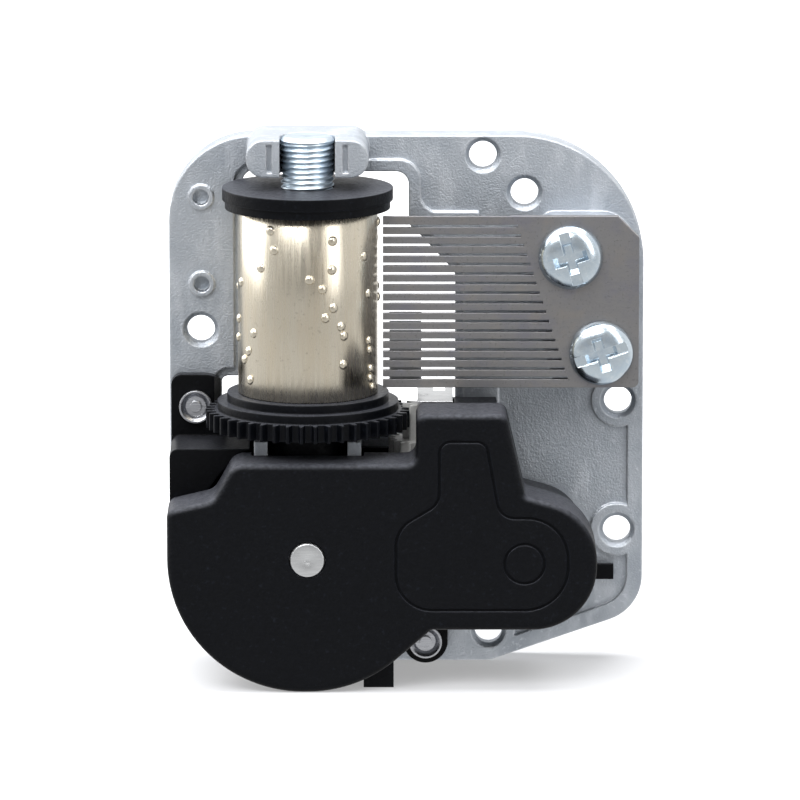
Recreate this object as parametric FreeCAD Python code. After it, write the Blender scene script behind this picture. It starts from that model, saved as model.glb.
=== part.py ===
import FreeCAD, Part
import math
import os

# Eighteen-note cylinder musical movement, standing upright on its lower edge.
# Millimetres. X is to the right, Y is away from the viewer, Z is up, and the floor is Z = 0.
# "d" is a distance in front of the bedplate's front face, so a larger d is a smaller Y.

# Fits between pieces
running_gap = 0.08
side_gap = 0.25
fixed_gap = 0.05

# Spring housing, which sets how high the cylinder stands
drum_radius = 12.6
drum_margin = 0.45
drum_side_bulge = 0.4
cover_lift = 1.0
cover_front = 14.0
cover_back = 8.0
cover_wall = 0.9
cover_edge_round = 0.6
base_floor = 0.8
spigot_height = 1.0
base_wall = 0.9
tower_left_reach = 10.07
tower_width = 8.3
tower_height = 4.7
tower_slant = 1.8
tower_corner = 0.9
lobe_reach = 20.85
lobe_drop = 0.7
lobe_radius = 6.0
lobe_shoulder_rise = 6.0
lobe_shoulder_slope = 0.285
lobe_corner = 0.5
drum_tail_angle = 41.0
tail_corner_round = 0.6
shoulder_rise = 4.6
shoulder_step = 4.3
shoulder_slope = 1.0
shoulder_run = 1.9
shoulder_rounds = (0.9, 1.5, 1.6)
tower_foot_round = 1.0
snap_foot_from = 5.2
snap_foot_to = 8.0
snap_foot_height = 2.8
snap_foot_back = 1.0
snap_foot_depth = 2.6
lug_thickness = 1.2
lug_radius = 2.1
lug_margin = 2.9
lug_head = 3.0
lug_rounds = (1.0, 2.0)
shoulder_block_rise = 0.3
shoulder_block_rounds = (0.8, 0.4)
base_left_inset = 0.1
snap_tab_reach = 2.7
snap_tab_height = 0.5
snap_tab_low = 4.7
snap_tab_width = 1.45
rivet_radius = 0.9
rivet_head_radius = 1.55
rivet_head_height = 0.6
rivet_cup_mouth = 1.38
rivet_cup_floor = 0.95
rivet_cup_depth = 0.45
rivet_post_radius = 0.55
panel_groove_width = 0.3
panel_groove_depth = 0.25
panel_top_drop = 2.4
panel_neck_left = 2.0
panel_neck_right = 6.6
panel_hip = 7.9
panel_shoulder_drop = 1.9
panel_reach = 4.2
panel_left_reach = 2.0
panel_left_drop = 3.0
panel_left_shoulder = 0.6
panel_rounds = (1.2, 1.2, 1.5, 4.0, 4.2, 3.5, 3.0, 1.6)
pivot_mark_radius = 2.0
worm_boss_height = 0.5
worm_bearing_radius = 1.2
worm_bearing_height = 0.8
arbor_boss_wall = 1.2

# Bedplate
plate_width = 44.5
plate_top_margin = 1.0
web = 1.6
skirt_depth = 3.4
skirt_wall = 1.4
corner_top_left = 8.0
corner_top_right = 12.0
corner_low_left = 12.0
corner_low_right = 4.5
foot_run = 14.4
foot_rise = 5.0
foot_corner = 2.0
recess_depth = 0.5
recess_margin = 1.45
recess_left = 3.0
recess_top_drop = 0.9
ledge_width = 0.8
window_reach_top = 9.4
window_reach = 13.77
window_shoulder = 2.4
window_slope_end = 7.1
window_corner = 1.2
window_gear_gap = 0.7
window_head = 0.7
window_step = 0.4
window_low_corner = 1.0
window_step_corner = 0.6
rim_width = 1.1
rim_height = 0.5
rim_corner = 2.0
rim_sweep = 1.6
rim_reach = 14.9
rim_foot = 1.5
mount_hole_radius = 1.3
hole_bevel = 0.4
hole_flare = 0.45
mount_boss_radius = 2.5
ring_boss_radius = 1.2
ring_hole_radius = 0.75
ring_boss_height = 0.3

# Cylinder
cylinder_d = 5.3
sleeve_radius = 6.52
sleeve_wall = 0.5
sleeve_length = 17.4
pin_height = 0.35
pin_base_radius = 0.6
pin_tip_radius = 0.3
pin_sides = 8
pins_per_row = 3
cap_radius = 7.95
cap_rim_height = 1.1
cap_neck_radius = 7.7
cap_neck_height = 0.8
flange_radius = 8.45
flange_height = 0.8
seat_radius = 7.55
seat_height = 0.8
shaft_radius = 2.5
shaft_length = 4.8
spindle_radius = 1.0
journal_radius = 3.65
plug_depth = 2.0
shaft_chamfer = 0.3
gear_face = 1.6
gear_lift = 0.85

# Bearings of the cylinder on the bedplate
ear_radius = 1.75
ear_width = 3.1
ear_round = 1.7
ear_gap = 1.25
ear_front = 2.6
stake_width = 0.5
stake_length = 2.6
stake_depth = 0.4
stake_wall = 0.95
yoke_height = 2.0
yoke_arm = 1.25
yoke_front = 4.0

# Comb
note_count = 18
comb_thickness = 1.0
tooth_thickness = 0.5
comb_lift = 0.3
comb_top_margin = 0.85
comb_bottom_margin = 0.4
comb_right_margin = 0.6
comb_corner = 2.0
comb_low_round = 0.6
slot_width = 0.27
slot_land_top = 11.3
slot_land_bottom = 6.6
tip_gap = 0.12
pad_margin = 1.5
pad_drop = 0.4
pad_inset = 0.4
pad_rounds = (1.5, 3.0, 0.5, 0.5)
comb_screw_head = 3.0
comb_screw_head_height = 1.5
comb_screw_rim = 0.7
comb_screw_crown = 2.1
comb_screw_radius = 1.25
weight_count = 9
weight_width = 0.5
weight_length = 3.0
weight_setback = 0.6
weight_depth_first = 0.6
weight_depth_last = 2.4
damper_count = 8
damper_thickness = 0.1
damper_depth = 0.9
damper_reach = 3.6
damper_setback = 0.1
damper_bow = 0.42

# Toothed wheels: counts and modules
cylinder_teeth = 46
first_pinion_teeth = 8
drive_module = 0.4
first_wheel_teeth = 20
second_pinion_teeth = 8
worm_wheel_teeth = 28
governor_module = 0.3
crown_teeth = 28
drive_pinion_teeth = 10
crown_module = 0.5
tooth_share = 0.31
crown_tooth_share = 0.25
flank_slope = 0.25
addendum_share = 0.85
dedendum_share = 1.15

# Governor
first_d = 4.4
second_d = 6.0
first_wheel_face = 1.5
first_wheel_drop = 1.4
second_pinion_face = 2.4
worm_wheel_face = 0.8
worm_reach = 20.12
worm_drop = 0.35
worm_turns = 4
worm_wire = 0.22
worm_tip_gap = 0.12
pivot_radius = 0.4
arbor_radius = 0.6
fan_radius = 4.0
fan_width = 2.0
fan_thickness = 0.35
fan_hub_radius = 1.1
bracket_sheet = 0.5
bracket_left_gap = 0.15
bracket_side = 2.2
bracket_flange_reach = 2.75
bracket_tab_reach = 1.4
bracket_second_reach = 1.3
bracket_notch_play = 0.3
bracket_notch_height = 1.1
bracket_proud = 0.1
bracket_play = 0.5
flange_notch_from = 0.95
flange_notch_width = 1.1
flange_notch_depth = 1.6
pinion_overlap = 0.3
worm_core_spare = 0.6

# Spring barrel and winding arbor
barrel_wall = 0.6
barrel_front = 12.7
lid_thickness = 0.5
crown_face = 2.0
crown_tooth_length = 1.4
neck_radius = 2.6
neck_length = 2.6
spring_thickness = 0.25
spring_turns = 6
arbor_core_radius = 2.4
winding_radius = 1.65
winding_proud = 0.25
clutch_seat_radius = 2.2
stem_radius = 2.0
stem_length = 6.0
clutch_wire = 0.22
clutch_turns = 4
clutch_pitch = 0.9

# Levels that follow from those sizes, from the floor up
half_width = plate_width / 2
axis_x = -half_width + drum_margin + drum_radius
drum_z = drum_radius
lobe_height = drum_z - lobe_drop
lobe_shoulder = drum_z + lobe_shoulder_rise
worm_height = drum_z - worm_drop
crown_radius = crown_teeth * crown_module / 2
drive_pinion_radius = drive_pinion_teeth * crown_module / 2
pinion_bottom = drum_z + crown_radius - crown_face / 2
pinion_top = pinion_bottom + crown_face
yoke_bottom = pinion_top + side_gap
yoke_top = yoke_bottom + yoke_height
gear_bottom = yoke_top + gear_lift
gear_top = gear_bottom + gear_face
flange_top = gear_top + flange_height
sleeve_bottom = flange_top + seat_height
sleeve_top = sleeve_bottom + sleeve_length
cap_neck_top = sleeve_top + cap_neck_height
cap_top = cap_neck_top + cap_rim_height
shaft_top = cap_top + shaft_length
ear_z = cap_top + ear_gap + ear_radius
window_top = cap_top + window_head
ear_mouth = shaft_radius + running_gap
plate_height = ear_z + plate_top_margin
cover_top = pinion_top + cover_lift

# Depths and places that follow
winding_front = cover_front + winding_proud
back_reach = skirt_depth + stem_length
tower_left = axis_x + tower_left_reach
tower_right = tower_left + tower_width
tower_top = cover_top + tower_height
lobe_x = axis_x + lobe_reach
base_inset = cover_wall + fixed_gap
worm_x = axis_x + worm_reach
gear_radius = cylinder_teeth * drive_module / 2
gear_tip = gear_radius + drive_module * addendum_share
front_reach = max(winding_front, cylinder_d + gear_tip)
face_y = (front_reach - back_reach) / 2
first_pinion_radius = first_pinion_teeth * drive_module / 2
first_distance = gear_radius + first_pinion_radius
first_x = axis_x + math.sqrt(first_distance ** 2 - (cylinder_d - first_d) ** 2)
first_wheel_radius = first_wheel_teeth * governor_module / 2
second_pinion_radius = second_pinion_teeth * governor_module / 2
second_distance = first_wheel_radius + second_pinion_radius
second_x = first_x + math.sqrt(second_distance ** 2 - (second_d - first_d) ** 2)
worm_wheel_radius = worm_wheel_teeth * governor_module / 2
worm_wheel_tip = worm_wheel_radius + governor_module * addendum_share
worm_core = worm_x - second_x - worm_wheel_tip - worm_tip_gap
crown_pitch_d = cylinder_d + drive_pinion_radius
barrel_back = crown_pitch_d + crown_module * dedendum_share
barrel_radius = cover_top - cover_wall - side_gap - drum_z
comb_front = cylinder_d + comb_lift
comb_back = comb_front - comb_thickness
comb_bottom = sleeve_bottom + comb_bottom_margin
comb_top = sleeve_top - comb_top_margin
comb_right = half_width - comb_right_margin
comb_left = axis_x + sleeve_radius + pin_height + tip_gap
note_pitch = (comb_top - comb_bottom) / note_count
comb_screws = [(comb_right - 6.4, comb_top - 3.8), (comb_right - 3.5, comb_bottom + 3.3)]
lug_rivets = [(-half_width + 2.45, yoke_top + 1.85), (axis_x + 11.0, lug_radius)]
mount_holes = [
    (half_width - 15.1, plate_height - 1.85),
    (half_width - 11.2, plate_height - 5.4),
    (-half_width + 2.95, plate_height - 18.4),
    (half_width - 2.35, comb_bottom - 2.3),
    (half_width - 2.4, drum_z),
    (half_width - 14.5, lug_radius + 0.8),
]
ring_holes = [(-half_width + 3.0, plate_height - 5.8), (-half_width + 3.05, plate_height - 14.05)]
toward_viewer = FreeCAD.Vector(0, -1, 0)


def at(x, d, z):
    return FreeCAD.Vector(x, face_y - d, z)


def rounded_outline(corners):
    """A closed wire in the plate's plane from corners (x, z, radius), with arcs at round corners."""
    ends = []
    count = len(corners)
    for i in range(count):
        x, z, radius = corners[i]
        here = FreeCAD.Vector(x, 0, z)
        before = FreeCAD.Vector(corners[i - 1][0], 0, corners[i - 1][1])
        after = FreeCAD.Vector(corners[(i + 1) % count][0], 0, corners[(i + 1) % count][1])
        back = (before - here).normalize()
        ahead = (after - here).normalize()
        half = back.getAngle(ahead) / 2
        tangent = radius / math.tan(half)
        bisector = (back + ahead).normalize()
        middle = here + bisector * (radius / math.sin(half) - radius)
        ends.append((here + back * tangent, middle, here + ahead * tangent, radius))
    edges = []
    for i in range(count):
        start, middle, end, radius = ends[i]
        if radius > 0:
            edges.append(Part.Arc(start, middle, end).toShape())
        following = ends[(i + 1) % count][0]
        if end.distanceToPoint(following) > 1e-6:
            edges.append(Part.LineSegment(end, following).toShape())
    return Part.Wire(edges)


def prism(face, d_from, d_to):
    """A face or wire of the plate's plane, drawn out from one depth to another."""
    flat = Part.Face(face) if isinstance(face, Part.Wire) else face.copy()
    flat.translate(FreeCAD.Vector(0, face_y - d_from, 0))
    return flat.extrude(FreeCAD.Vector(0, d_from - d_to, 0))


def inset(wire, distance):
    return Part.Face(wire).makeOffset2D(-distance)


def block(x_from, x_to, d_from, d_to, z_from, z_to):
    return Part.makeBox(x_to - x_from, d_to - d_from, z_to - z_from, at(x_from, d_to, z_from))


def rod_y(x, z, radius, d_from, d_to):
    return Part.makeCylinder(radius, d_to - d_from, at(x, d_from, z), toward_viewer)


def rod_z(x, d, radius, z_from, z_to):
    return Part.makeCylinder(radius, z_to - z_from, at(x, d, z_from), FreeCAD.Vector(0, 0, 1))


def tooth_outline(teeth, module, turn):
    """A closed polygon of straight-flanked teeth about the origin, one tooth centred on the angle turn."""
    pitch_radius = teeth * module / 2
    height = module * addendum_share
    depth = module * dedendum_share
    tip = pitch_radius + height
    root = pitch_radius - depth
    half = tooth_share * math.pi * module / 2
    half_tip = (half - flank_slope * height) / tip
    half_root = (half + flank_slope * depth) / root
    points = []
    for i in range(teeth):
        centre = turn + 2 * math.pi * i / teeth
        for radius, offset in [(root, -half_root), (tip, -half_tip), (tip, half_tip), (root, half_root)]:
            angle = centre + offset
            points.append(FreeCAD.Vector(radius * math.cos(angle), radius * math.sin(angle), 0))
    return Part.makePolygon(points + points[:1])


def spur_wheel(x, d, teeth, module, turn, z_from, z_to):
    """A spur wheel with a vertical axis."""
    wheel = Part.Face(tooth_outline(teeth, module, turn)).extrude(FreeCAD.Vector(0, 0, z_to - z_from))
    wheel.translate(at(x, d, z_from))
    return wheel


def arc_from_tangent(start, control, end):
    """The arc from start to end whose tangents meet at the control point."""
    chord_middle = (start + end) * 0.5
    half_chord = start.distanceToPoint(end) / 2
    half_turn = (control - start).getAngle(end - start)
    rise = half_chord * math.tan(half_turn / 2)
    peak = chord_middle + (control - chord_middle).normalize() * rise
    return Part.Arc(start, peak, end).toShape()


def helix_path(radius, pitch, turns, start_angle, hand):
    """Tangent arcs along a helix about the Y axis, two to each quarter turn."""
    rise = pitch / (2 * math.pi)

    def place(angle):
        turned = start_angle + hand * angle
        return FreeCAD.Vector(radius * math.sin(turned), rise * angle, radius * math.cos(turned))

    def heading(angle):
        turned = start_angle + hand * angle
        way = FreeCAD.Vector(hand * radius * math.cos(turned), rise, -hand * radius * math.sin(turned))
        return way.normalize()

    edges = []
    for i in range(4 * turns):
        first = i * math.pi / 2
        last = first + math.pi / 2
        p, q = place(first), place(last)
        s, t = heading(first), heading(last)
        across = q - p
        along = s + t
        bend = 2 * (1 - s.dot(t))
        reach = (-across.dot(along) + math.sqrt(across.dot(along) ** 2 + bend * across.dot(across))) / bend
        control_first = p + s * reach
        control_last = q - t * reach
        joint = (control_first + control_last) * 0.5
        edges.append(arc_from_tangent(p, control_first, joint))
        edges.append(arc_from_tangent(joint, control_last, q))
    return Part.Wire(edges), place(0), heading(0)


def coil(radius, pitch, turns, wire, start_angle, hand, x, d, z):
    """One unbroken round wire wound about a depth axis, centred on the depth d."""
    path, start, way = helix_path(radius, pitch, turns, start_angle, hand)
    section = Part.Wire(Part.Circle(start, way, wire).toShape())
    tube = path.makePipeShell([section], True, False)
    tube.translate(at(x, d, z) - FreeCAD.Vector(0, pitch * turns / 2, 0))
    print("coil gap to itself", round(pitch - 2 * wire, 3))
    return tube


def save(name, shape):
    shape.exportStep("parts/" + name + ".step")


def plate_outline():
    left, right = -half_width, half_width
    return rounded_outline([
        (left, 0, corner_low_left),
        (left, plate_height, corner_top_left),
        (right, plate_height, corner_top_right),
        (right, foot_rise, corner_low_right),
        (right - foot_run, 0, foot_corner),
    ])


def window_outline():
    """The opening behind the cylinder and the tooth tips, wider where the large wheel dips into it."""
    cap_half = math.sqrt(cap_radius ** 2 - cylinder_d ** 2) + side_gap
    gear_half = math.sqrt(gear_tip ** 2 - cylinder_d ** 2) + side_gap
    bottom = gear_bottom - window_gear_gap
    step = sleeve_bottom + window_step
    return rounded_outline([
        (axis_x - cap_half, window_top, window_corner),
        (axis_x + window_reach_top, window_top, window_corner),
        (axis_x + window_reach_top, sleeve_top - window_shoulder, window_corner),
        (axis_x + window_reach, sleeve_top - window_slope_end, window_corner),
        (axis_x + window_reach, bottom, window_low_corner),
        (axis_x - gear_half, bottom, window_low_corner),
        (axis_x - gear_half, step, window_step_corner),
        (axis_x - cap_half, step, window_step_corner),
    ])


def window_rim_outline():
    """The raised rim from the upper bearing round the window's corner, swept out along the comb's top."""
    left = axis_x + ear_mouth
    right = axis_x + window_reach_top + rim_width
    shelf = comb_top - pad_drop
    end = comb_right - rim_reach
    return rounded_outline([
        (left, shelf - rim_foot, 0),
        (left, window_top + rim_width, 0),
        (right, window_top + rim_width, rim_corner),
        (right, shelf, rim_sweep),
        (end, shelf, 0),
        (end, shelf - rim_foot, 0),
    ])


def comb_pad_outline():
    top = comb_top - pad_drop
    right = comb_right - pad_inset
    return rounded_outline([
        (comb_right - slot_land_top + pad_margin, top, pad_rounds[0]),
        (right, top, pad_rounds[1]),
        (right, comb_bottom, pad_rounds[2]),
        (comb_right - slot_land_bottom + pad_margin, comb_bottom, pad_rounds[3]),
    ])


def bearing_ears():
    """Two staked ears and the saddle between them, which hold the threaded shaft."""
    outer = ear_mouth + ear_width
    low, high = ear_z - ear_radius, ear_z + ear_radius
    outline = rounded_outline([
        (axis_x - outer, low, ear_round),
        (axis_x - outer, high, ear_round),
        (axis_x + outer, high, ear_round),
        (axis_x + outer, low, ear_round),
    ])
    front = cylinder_d + ear_front
    ears = prism(outline, -web, front)
    ears = ears.cut(rod_z(axis_x, cylinder_d, ear_mouth, low - 1, high + 1))
    ears = ears.cut(block(axis_x - ear_mouth, axis_x + ear_mouth, cylinder_d, front + 1, low - 1, high + 1))
    for side in (-1, 1):
        groove_x = axis_x + side * (ear_mouth + stake_wall)
        near, far = groove_x - stake_width / 2, groove_x + stake_width / 2
        bottom, top = ear_z - stake_length / 2, ear_z + stake_length / 2
        ears = ears.cut(block(near, far, front - stake_depth, front + 1, bottom, top))
    return ears


def lower_yoke():
    """The forked arm that the cylinder's lower journal runs in."""
    bore = journal_radius + running_gap
    outer = bore + yoke_arm
    front = cylinder_d + yoke_front
    yoke = block(axis_x - outer, axis_x + outer, -web, front, yoke_bottom, yoke_top)
    yoke = yoke.cut(rod_z(axis_x, cylinder_d, bore, yoke_bottom - 1, yoke_top + 1))
    return yoke.cut(block(axis_x - bore, axis_x + bore, cylinder_d, front + 1, yoke_bottom - 1, yoke_top + 1))


def bedplate():
    outline = plate_outline()
    blank = prism(outline, -skirt_depth, 0)
    plate = blank.cut(prism(inset(outline, skirt_wall), -skirt_depth, -web))
    for x, z in mount_holes + ring_holes + [(axis_x, drum_z)]:
        plate = plate.fuse(rod_y(x, z, mount_boss_radius, -skirt_depth, -web).common(blank))
    window = window_outline()
    recess = prism(inset(outline, recess_margin), -recess_depth, 0)
    recess_top = comb_bottom - recess_top_drop
    recess = recess.common(block(lobe_x - recess_left, half_width, -web, 1, -1, recess_top))
    for x, z in mount_holes:
        recess = recess.cut(rod_y(x, z, mount_boss_radius, -web, 1))
    plate = plate.cut(recess)
    plate = plate.cut(prism(inset(window, -ledge_width), -recess_depth, 0))
    plate = plate.fuse([
        prism(comb_pad_outline(), -web, comb_back),
        prism(window_rim_outline(), -web, rim_height),
        bearing_ears(),
        lower_yoke(),
    ])
    plate = plate.cut(prism(window, -skirt_depth, rim_height))
    for x, z in ring_holes:
        plate = plate.fuse(rod_y(x, z, ring_boss_radius, -web, ring_boss_height))
        plate = plate.cut(rod_y(x, z, ring_hole_radius, -web / 2, ring_boss_height))
    mouth = mount_hole_radius + hole_bevel
    flare = mount_hole_radius + hole_flare
    flare_depth = skirt_depth - web
    for x, z in mount_holes:
        plate = plate.cut([
            rod_y(x, z, mount_hole_radius, -web, 1),
            Part.makeCone(mount_hole_radius, mouth, hole_bevel, at(x, -hole_bevel, z), toward_viewer),
            Part.makeCone(flare, mount_hole_radius, flare_depth, at(x, -skirt_depth, z), toward_viewer),
        ])
    for x, z in comb_screws:
        plate = plate.cut(rod_y(x, z, comb_screw_radius + fixed_gap, -web, comb_back))
    for x, z in lug_rivets:
        plate = plate.cut(rod_y(x, z, rivet_radius + fixed_gap, -skirt_depth, 1))
    seat = rod_y(axis_x, drum_z, clutch_seat_radius + running_gap, -skirt_depth, 1)
    return plate.cut(seat).removeSplitter()


def comb():
    """A steel plate slit into teeth, thinned behind them."""
    outline = rounded_outline([
        (comb_left, comb_bottom, 0),
        (comb_left, comb_top, 0),
        (comb_right - comb_corner, comb_top, 0),
        (comb_right, comb_top - comb_corner, 0),
        (comb_right, comb_bottom, comb_low_round),
    ])
    plate = prism(outline, comb_back, comb_front)
    slots = []
    for i in range(1, note_count):
        z = comb_top - i * note_pitch
        share = (i - 1) / (note_count - 2)
        end = comb_right - slot_land_top + share * (slot_land_top - slot_land_bottom)
        low, high = z - slot_width / 2, z + slot_width / 2
        slots.append(block(comb_left - 1, end, comb_back - 1, comb_front + 1, low, high))
    thinned = rounded_outline([
        (comb_left - 1, comb_bottom - 1, 0),
        (comb_left - 1, comb_top + 1, 0),
        (comb_right - slot_land_top - 1, comb_top + 1, 0),
        (comb_right - slot_land_bottom - 1, comb_bottom - 1, 0),
    ])
    plate = plate.cut(slots + [prism(thinned, comb_back - 1, comb_front - tooth_thickness)])
    for x, z in comb_screws:
        plate = plate.cut(rod_y(x, z, comb_screw_radius + fixed_gap, comb_back - 1, comb_front + 1))
    return plate.removeSplitter()


def comb_screw(x, z):
    rim = comb_front + comb_screw_rim
    rise = comb_screw_head_height - comb_screw_rim
    crown = Part.makeCone(comb_screw_head, comb_screw_crown, rise, at(x, rim, z), toward_viewer)
    head = rod_y(x, z, comb_screw_head, comb_front, rim).fuse(crown)
    return head.fuse(rod_y(x, z, comb_screw_radius, 0, comb_front)).removeSplitter()


def tuning_weights():
    """Lead blocks under the bass teeth, deeper towards the lowest note."""
    weights = []
    for i in range(weight_count):
        z = comb_bottom + (i + 0.5) * note_pitch
        share = i / (weight_count - 1)
        depth = weight_depth_last + share * (weight_depth_first - weight_depth_last)
        back = comb_front - tooth_thickness
        left = comb_left + weight_setback
        low, high = z - weight_width / 2, z + weight_width / 2
        weights.append(block(left, left + weight_length, back - depth, back, low, high))
    return Part.makeCompound(weights)


def damper(z):
    """A thin strip under a treble tooth, bowed so that it shows in the slot beside it."""
    left, right = comb_left + damper_setback, comb_left + damper_reach
    middle = (left + right) / 2
    bow = note_pitch * damper_bow
    peak = FreeCAD.Vector(middle, 0, z - bow)
    flat = Part.Arc(FreeCAD.Vector(left, 0, z), peak, FreeCAD.Vector(right, 0, z))
    lift = FreeCAD.Vector(0, 0, damper_thickness)
    low = flat.toShape()
    high = low.copy()
    high.translate(lift)
    ends = []
    for x in (left, right):
        corner = FreeCAD.Vector(x, 0, z)
        ends.append(Part.LineSegment(corner, corner + lift).toShape())
    outline = Part.Wire([low, ends[1], high, ends[0]])
    back = comb_front - tooth_thickness
    return prism(outline, back - damper_depth, back)


def dampers():
    return Part.makeCompound([damper(comb_top - (i + 0.5) * note_pitch) for i in range(damper_count)])


def cover_outline():
    left = axis_x - drum_radius - drum_side_bulge
    tail = math.radians(drum_tail_angle)
    tail_corner = axis_x + drum_radius * math.tan(tail / 2)
    floor_z = lobe_height - lobe_radius
    tail_end_x = axis_x + drum_radius * math.sin(tail)
    tail_end_z = drum_z - drum_radius * math.cos(tail)
    join_x = tail_end_x + (floor_z - tail_end_z) / math.tan(tail)
    lobe_right = lobe_x + lobe_radius
    lobe_low_round = lobe_radius - fixed_gap
    lobe_high_round = lobe_radius - side_gap
    drum_round = drum_radius - fixed_gap / 10
    slant_x = tower_right + tower_slant
    step_x = left + shoulder_step
    step_z = drum_z + shoulder_rise
    return rounded_outline([
        (left, step_z, shoulder_rounds[0]),
        (step_x, step_z + shoulder_slope, shoulder_rounds[1]),
        (step_x + shoulder_run, cover_top, shoulder_rounds[2]),
        (tower_left, cover_top, tower_foot_round),
        (tower_left, tower_top, tower_corner),
        (tower_right, tower_top, tower_corner),
        (slant_x, lobe_shoulder, lobe_corner),
        (lobe_right, lobe_shoulder - lobe_shoulder_slope * (lobe_right - slant_x), lobe_high_round),
        (lobe_right, floor_z, lobe_low_round),
        (join_x, floor_z, tail_corner_round),
        (tail_corner, 0, drum_round),
        (left, 0, drum_round),
    ])


def panel_outline():
    """The bell-shaped moulded line on the cover's front, round the governor."""
    right = worm_x + panel_reach
    left = tower_left - panel_left_reach
    top = tower_top - panel_top_drop
    shoulder = lobe_shoulder - panel_shoulder_drop
    bottom = lobe_height - panel_reach
    corners = [
        (tower_left + panel_neck_left, top),
        (tower_left + panel_neck_right, top),
        (tower_left + panel_hip, shoulder),
        (right, shoulder),
        (right, bottom),
        (left, bottom),
        (left, lobe_shoulder - panel_left_drop),
        (tower_left + panel_neck_left, lobe_shoulder - panel_left_shoulder),
    ]
    return rounded_outline([(x, z, radius) for (x, z), radius in zip(corners, panel_rounds)])


def front_groove(outline):
    ring = Part.Face(outline).cut(inset(outline, panel_groove_width))
    return prism(ring, cover_front - panel_groove_depth, cover_front + 1)


def housing_cover():
    outline = cover_outline()
    inside = cover_front - cover_wall
    shell = prism(outline, cover_back, cover_front)
    front_y = face_y - cover_front
    rim = [edge for edge in shell.Edges if abs(edge.BoundBox.YMax - front_y) < 1e-4]
    shell = shell.makeFillet(cover_edge_round, rim)
    shell = shell.cut(prism(inset(outline, cover_wall), cover_back - 1, inside))
    foot_back = cover_back + snap_foot_back
    foot_front = foot_back + snap_foot_depth
    foot_left, foot_right = axis_x + snap_foot_from, axis_x + snap_foot_to
    foot = block(foot_left, foot_right, foot_back, foot_front, 0, snap_foot_height)
    foot = foot.cut(rod_y(axis_x, drum_z, drum_radius - cover_wall / 2, 0, cover_front))
    worm_boss = rod_y(worm_x, worm_height, pivot_mark_radius, inside - worm_boss_height, inside)
    arbor_boss = rod_y(axis_x, drum_z, winding_radius + arbor_boss_wall, barrel_front + side_gap, inside)
    shell = shell.fuse([foot, worm_boss, arbor_boss])
    yoke_half = journal_radius + running_gap + yoke_arm + side_gap
    yoke_reach = cylinder_d + yoke_front + side_gap
    gap_low = pinion_top - side_gap
    top_gap = block(axis_x - yoke_half, axis_x + yoke_half, cover_back - 1, yoke_reach, gap_low, tower_top)
    shell = shell.cut([
        top_gap,
        rod_y(axis_x, drum_z, winding_radius + running_gap, cover_back, cover_front + 1),
        rod_y(worm_x, worm_height, pivot_radius + fixed_gap, 0, cover_front - cover_wall / 2),
        front_groove(panel_outline()),
    ])
    mark_centre = FreeCAD.Vector(worm_x, 0, worm_height)
    mark = Part.Wire(Part.Circle(mark_centre, FreeCAD.Vector(0, 1, 0), pivot_mark_radius).toShape())
    return shell.cut(front_groove(mark)).removeSplitter()


def housing_base():
    """The tray behind the cover, with its lugs, its left shoulder and the governor's back wall."""
    outer = inset(cover_outline(), base_inset)
    inner = inset(cover_outline(), base_inset + base_wall)
    rim = cover_back + spigot_height
    tray = prism(outer, 0, rim).cut(prism(inner, base_floor, rim + 1))
    left = axis_x - drum_radius - drum_side_bulge + base_left_inset
    yoke_half = journal_radius + running_gap + yoke_arm + side_gap
    shoulder_top = cover_top + shoulder_block_rise
    shoulder = prism(rounded_outline([
        (left, drum_z, 0),
        (left, shoulder_top, shoulder_block_rounds[0]),
        (axis_x - yoke_half, shoulder_top, shoulder_block_rounds[1]),
        (axis_x - yoke_half, drum_z, 0),
    ]), 0, cover_back)
    cavity = rod_y(axis_x, drum_z, drum_radius - base_inset - base_wall, base_floor, rim + 1)
    lug_x, lug_z = lug_rivets[0]
    side_lug = prism(rounded_outline([
        (left, drum_z, 0),
        (left, lug_z + lug_head, lug_rounds[0]),
        (lug_x + lug_margin, lug_z + lug_head, lug_rounds[1]),
        (lug_x + lug_margin, drum_z, 0),
    ]), 0, lug_thickness)
    relief = rod_z(axis_x, cylinder_d, gear_tip + side_gap, gear_bottom - side_gap, sleeve_top)
    low_x, low_z = lug_rivets[1]
    low_lug = rod_y(low_x, low_z, lug_radius, 0, lug_thickness)
    neck_top = lobe_height - lobe_radius / 2
    low_lug = low_lug.fuse(block(low_x - lug_radius, low_x + lug_radius, 0, lug_thickness, low_z, neck_top))
    tab_low = lobe_height - snap_tab_low + snap_tab_width / 2
    tab_end = half_width - snap_tab_reach
    snap_tab = block(lobe_x, tab_end, 0, snap_tab_height, tab_low, tab_low + snap_tab_width)
    tray = tray.fuse([shoulder, side_lug.cut(relief), low_lug, snap_tab]).cut(cavity)
    flange_end = first_x + bracket_flange_reach + bracket_left_gap
    open_low = pinion_bottom - 2 * side_gap
    open_top = block(axis_x - yoke_half, flange_end, base_floor, rim + 1, open_low, tower_top + 1)
    yoke_way = block(axis_x - yoke_half, axis_x + yoke_half, -1, rim + 1, pinion_top, tower_top + 1)
    wheel_way = block(axis_x - yoke_half, tower_left + 1, -1, rim + 1, yoke_top, tower_top + 1)
    tray = tray.cut([open_top, yoke_way, wheel_way])
    for x, z in lug_rivets:
        tray = tray.cut(rod_y(x, z, rivet_radius + fixed_gap, -1, lug_thickness + 1))
    bearing_top = base_floor + worm_bearing_height
    tray = tray.fuse(rod_y(worm_x, worm_height, worm_bearing_radius, base_floor, bearing_top))
    tray = tray.cut(rod_y(worm_x, worm_height, pivot_radius + fixed_gap, base_floor / 2, rim))
    return tray.cut(rod_y(axis_x, drum_z, clutch_seat_radius + running_gap, -1, rim)).removeSplitter()


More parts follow.
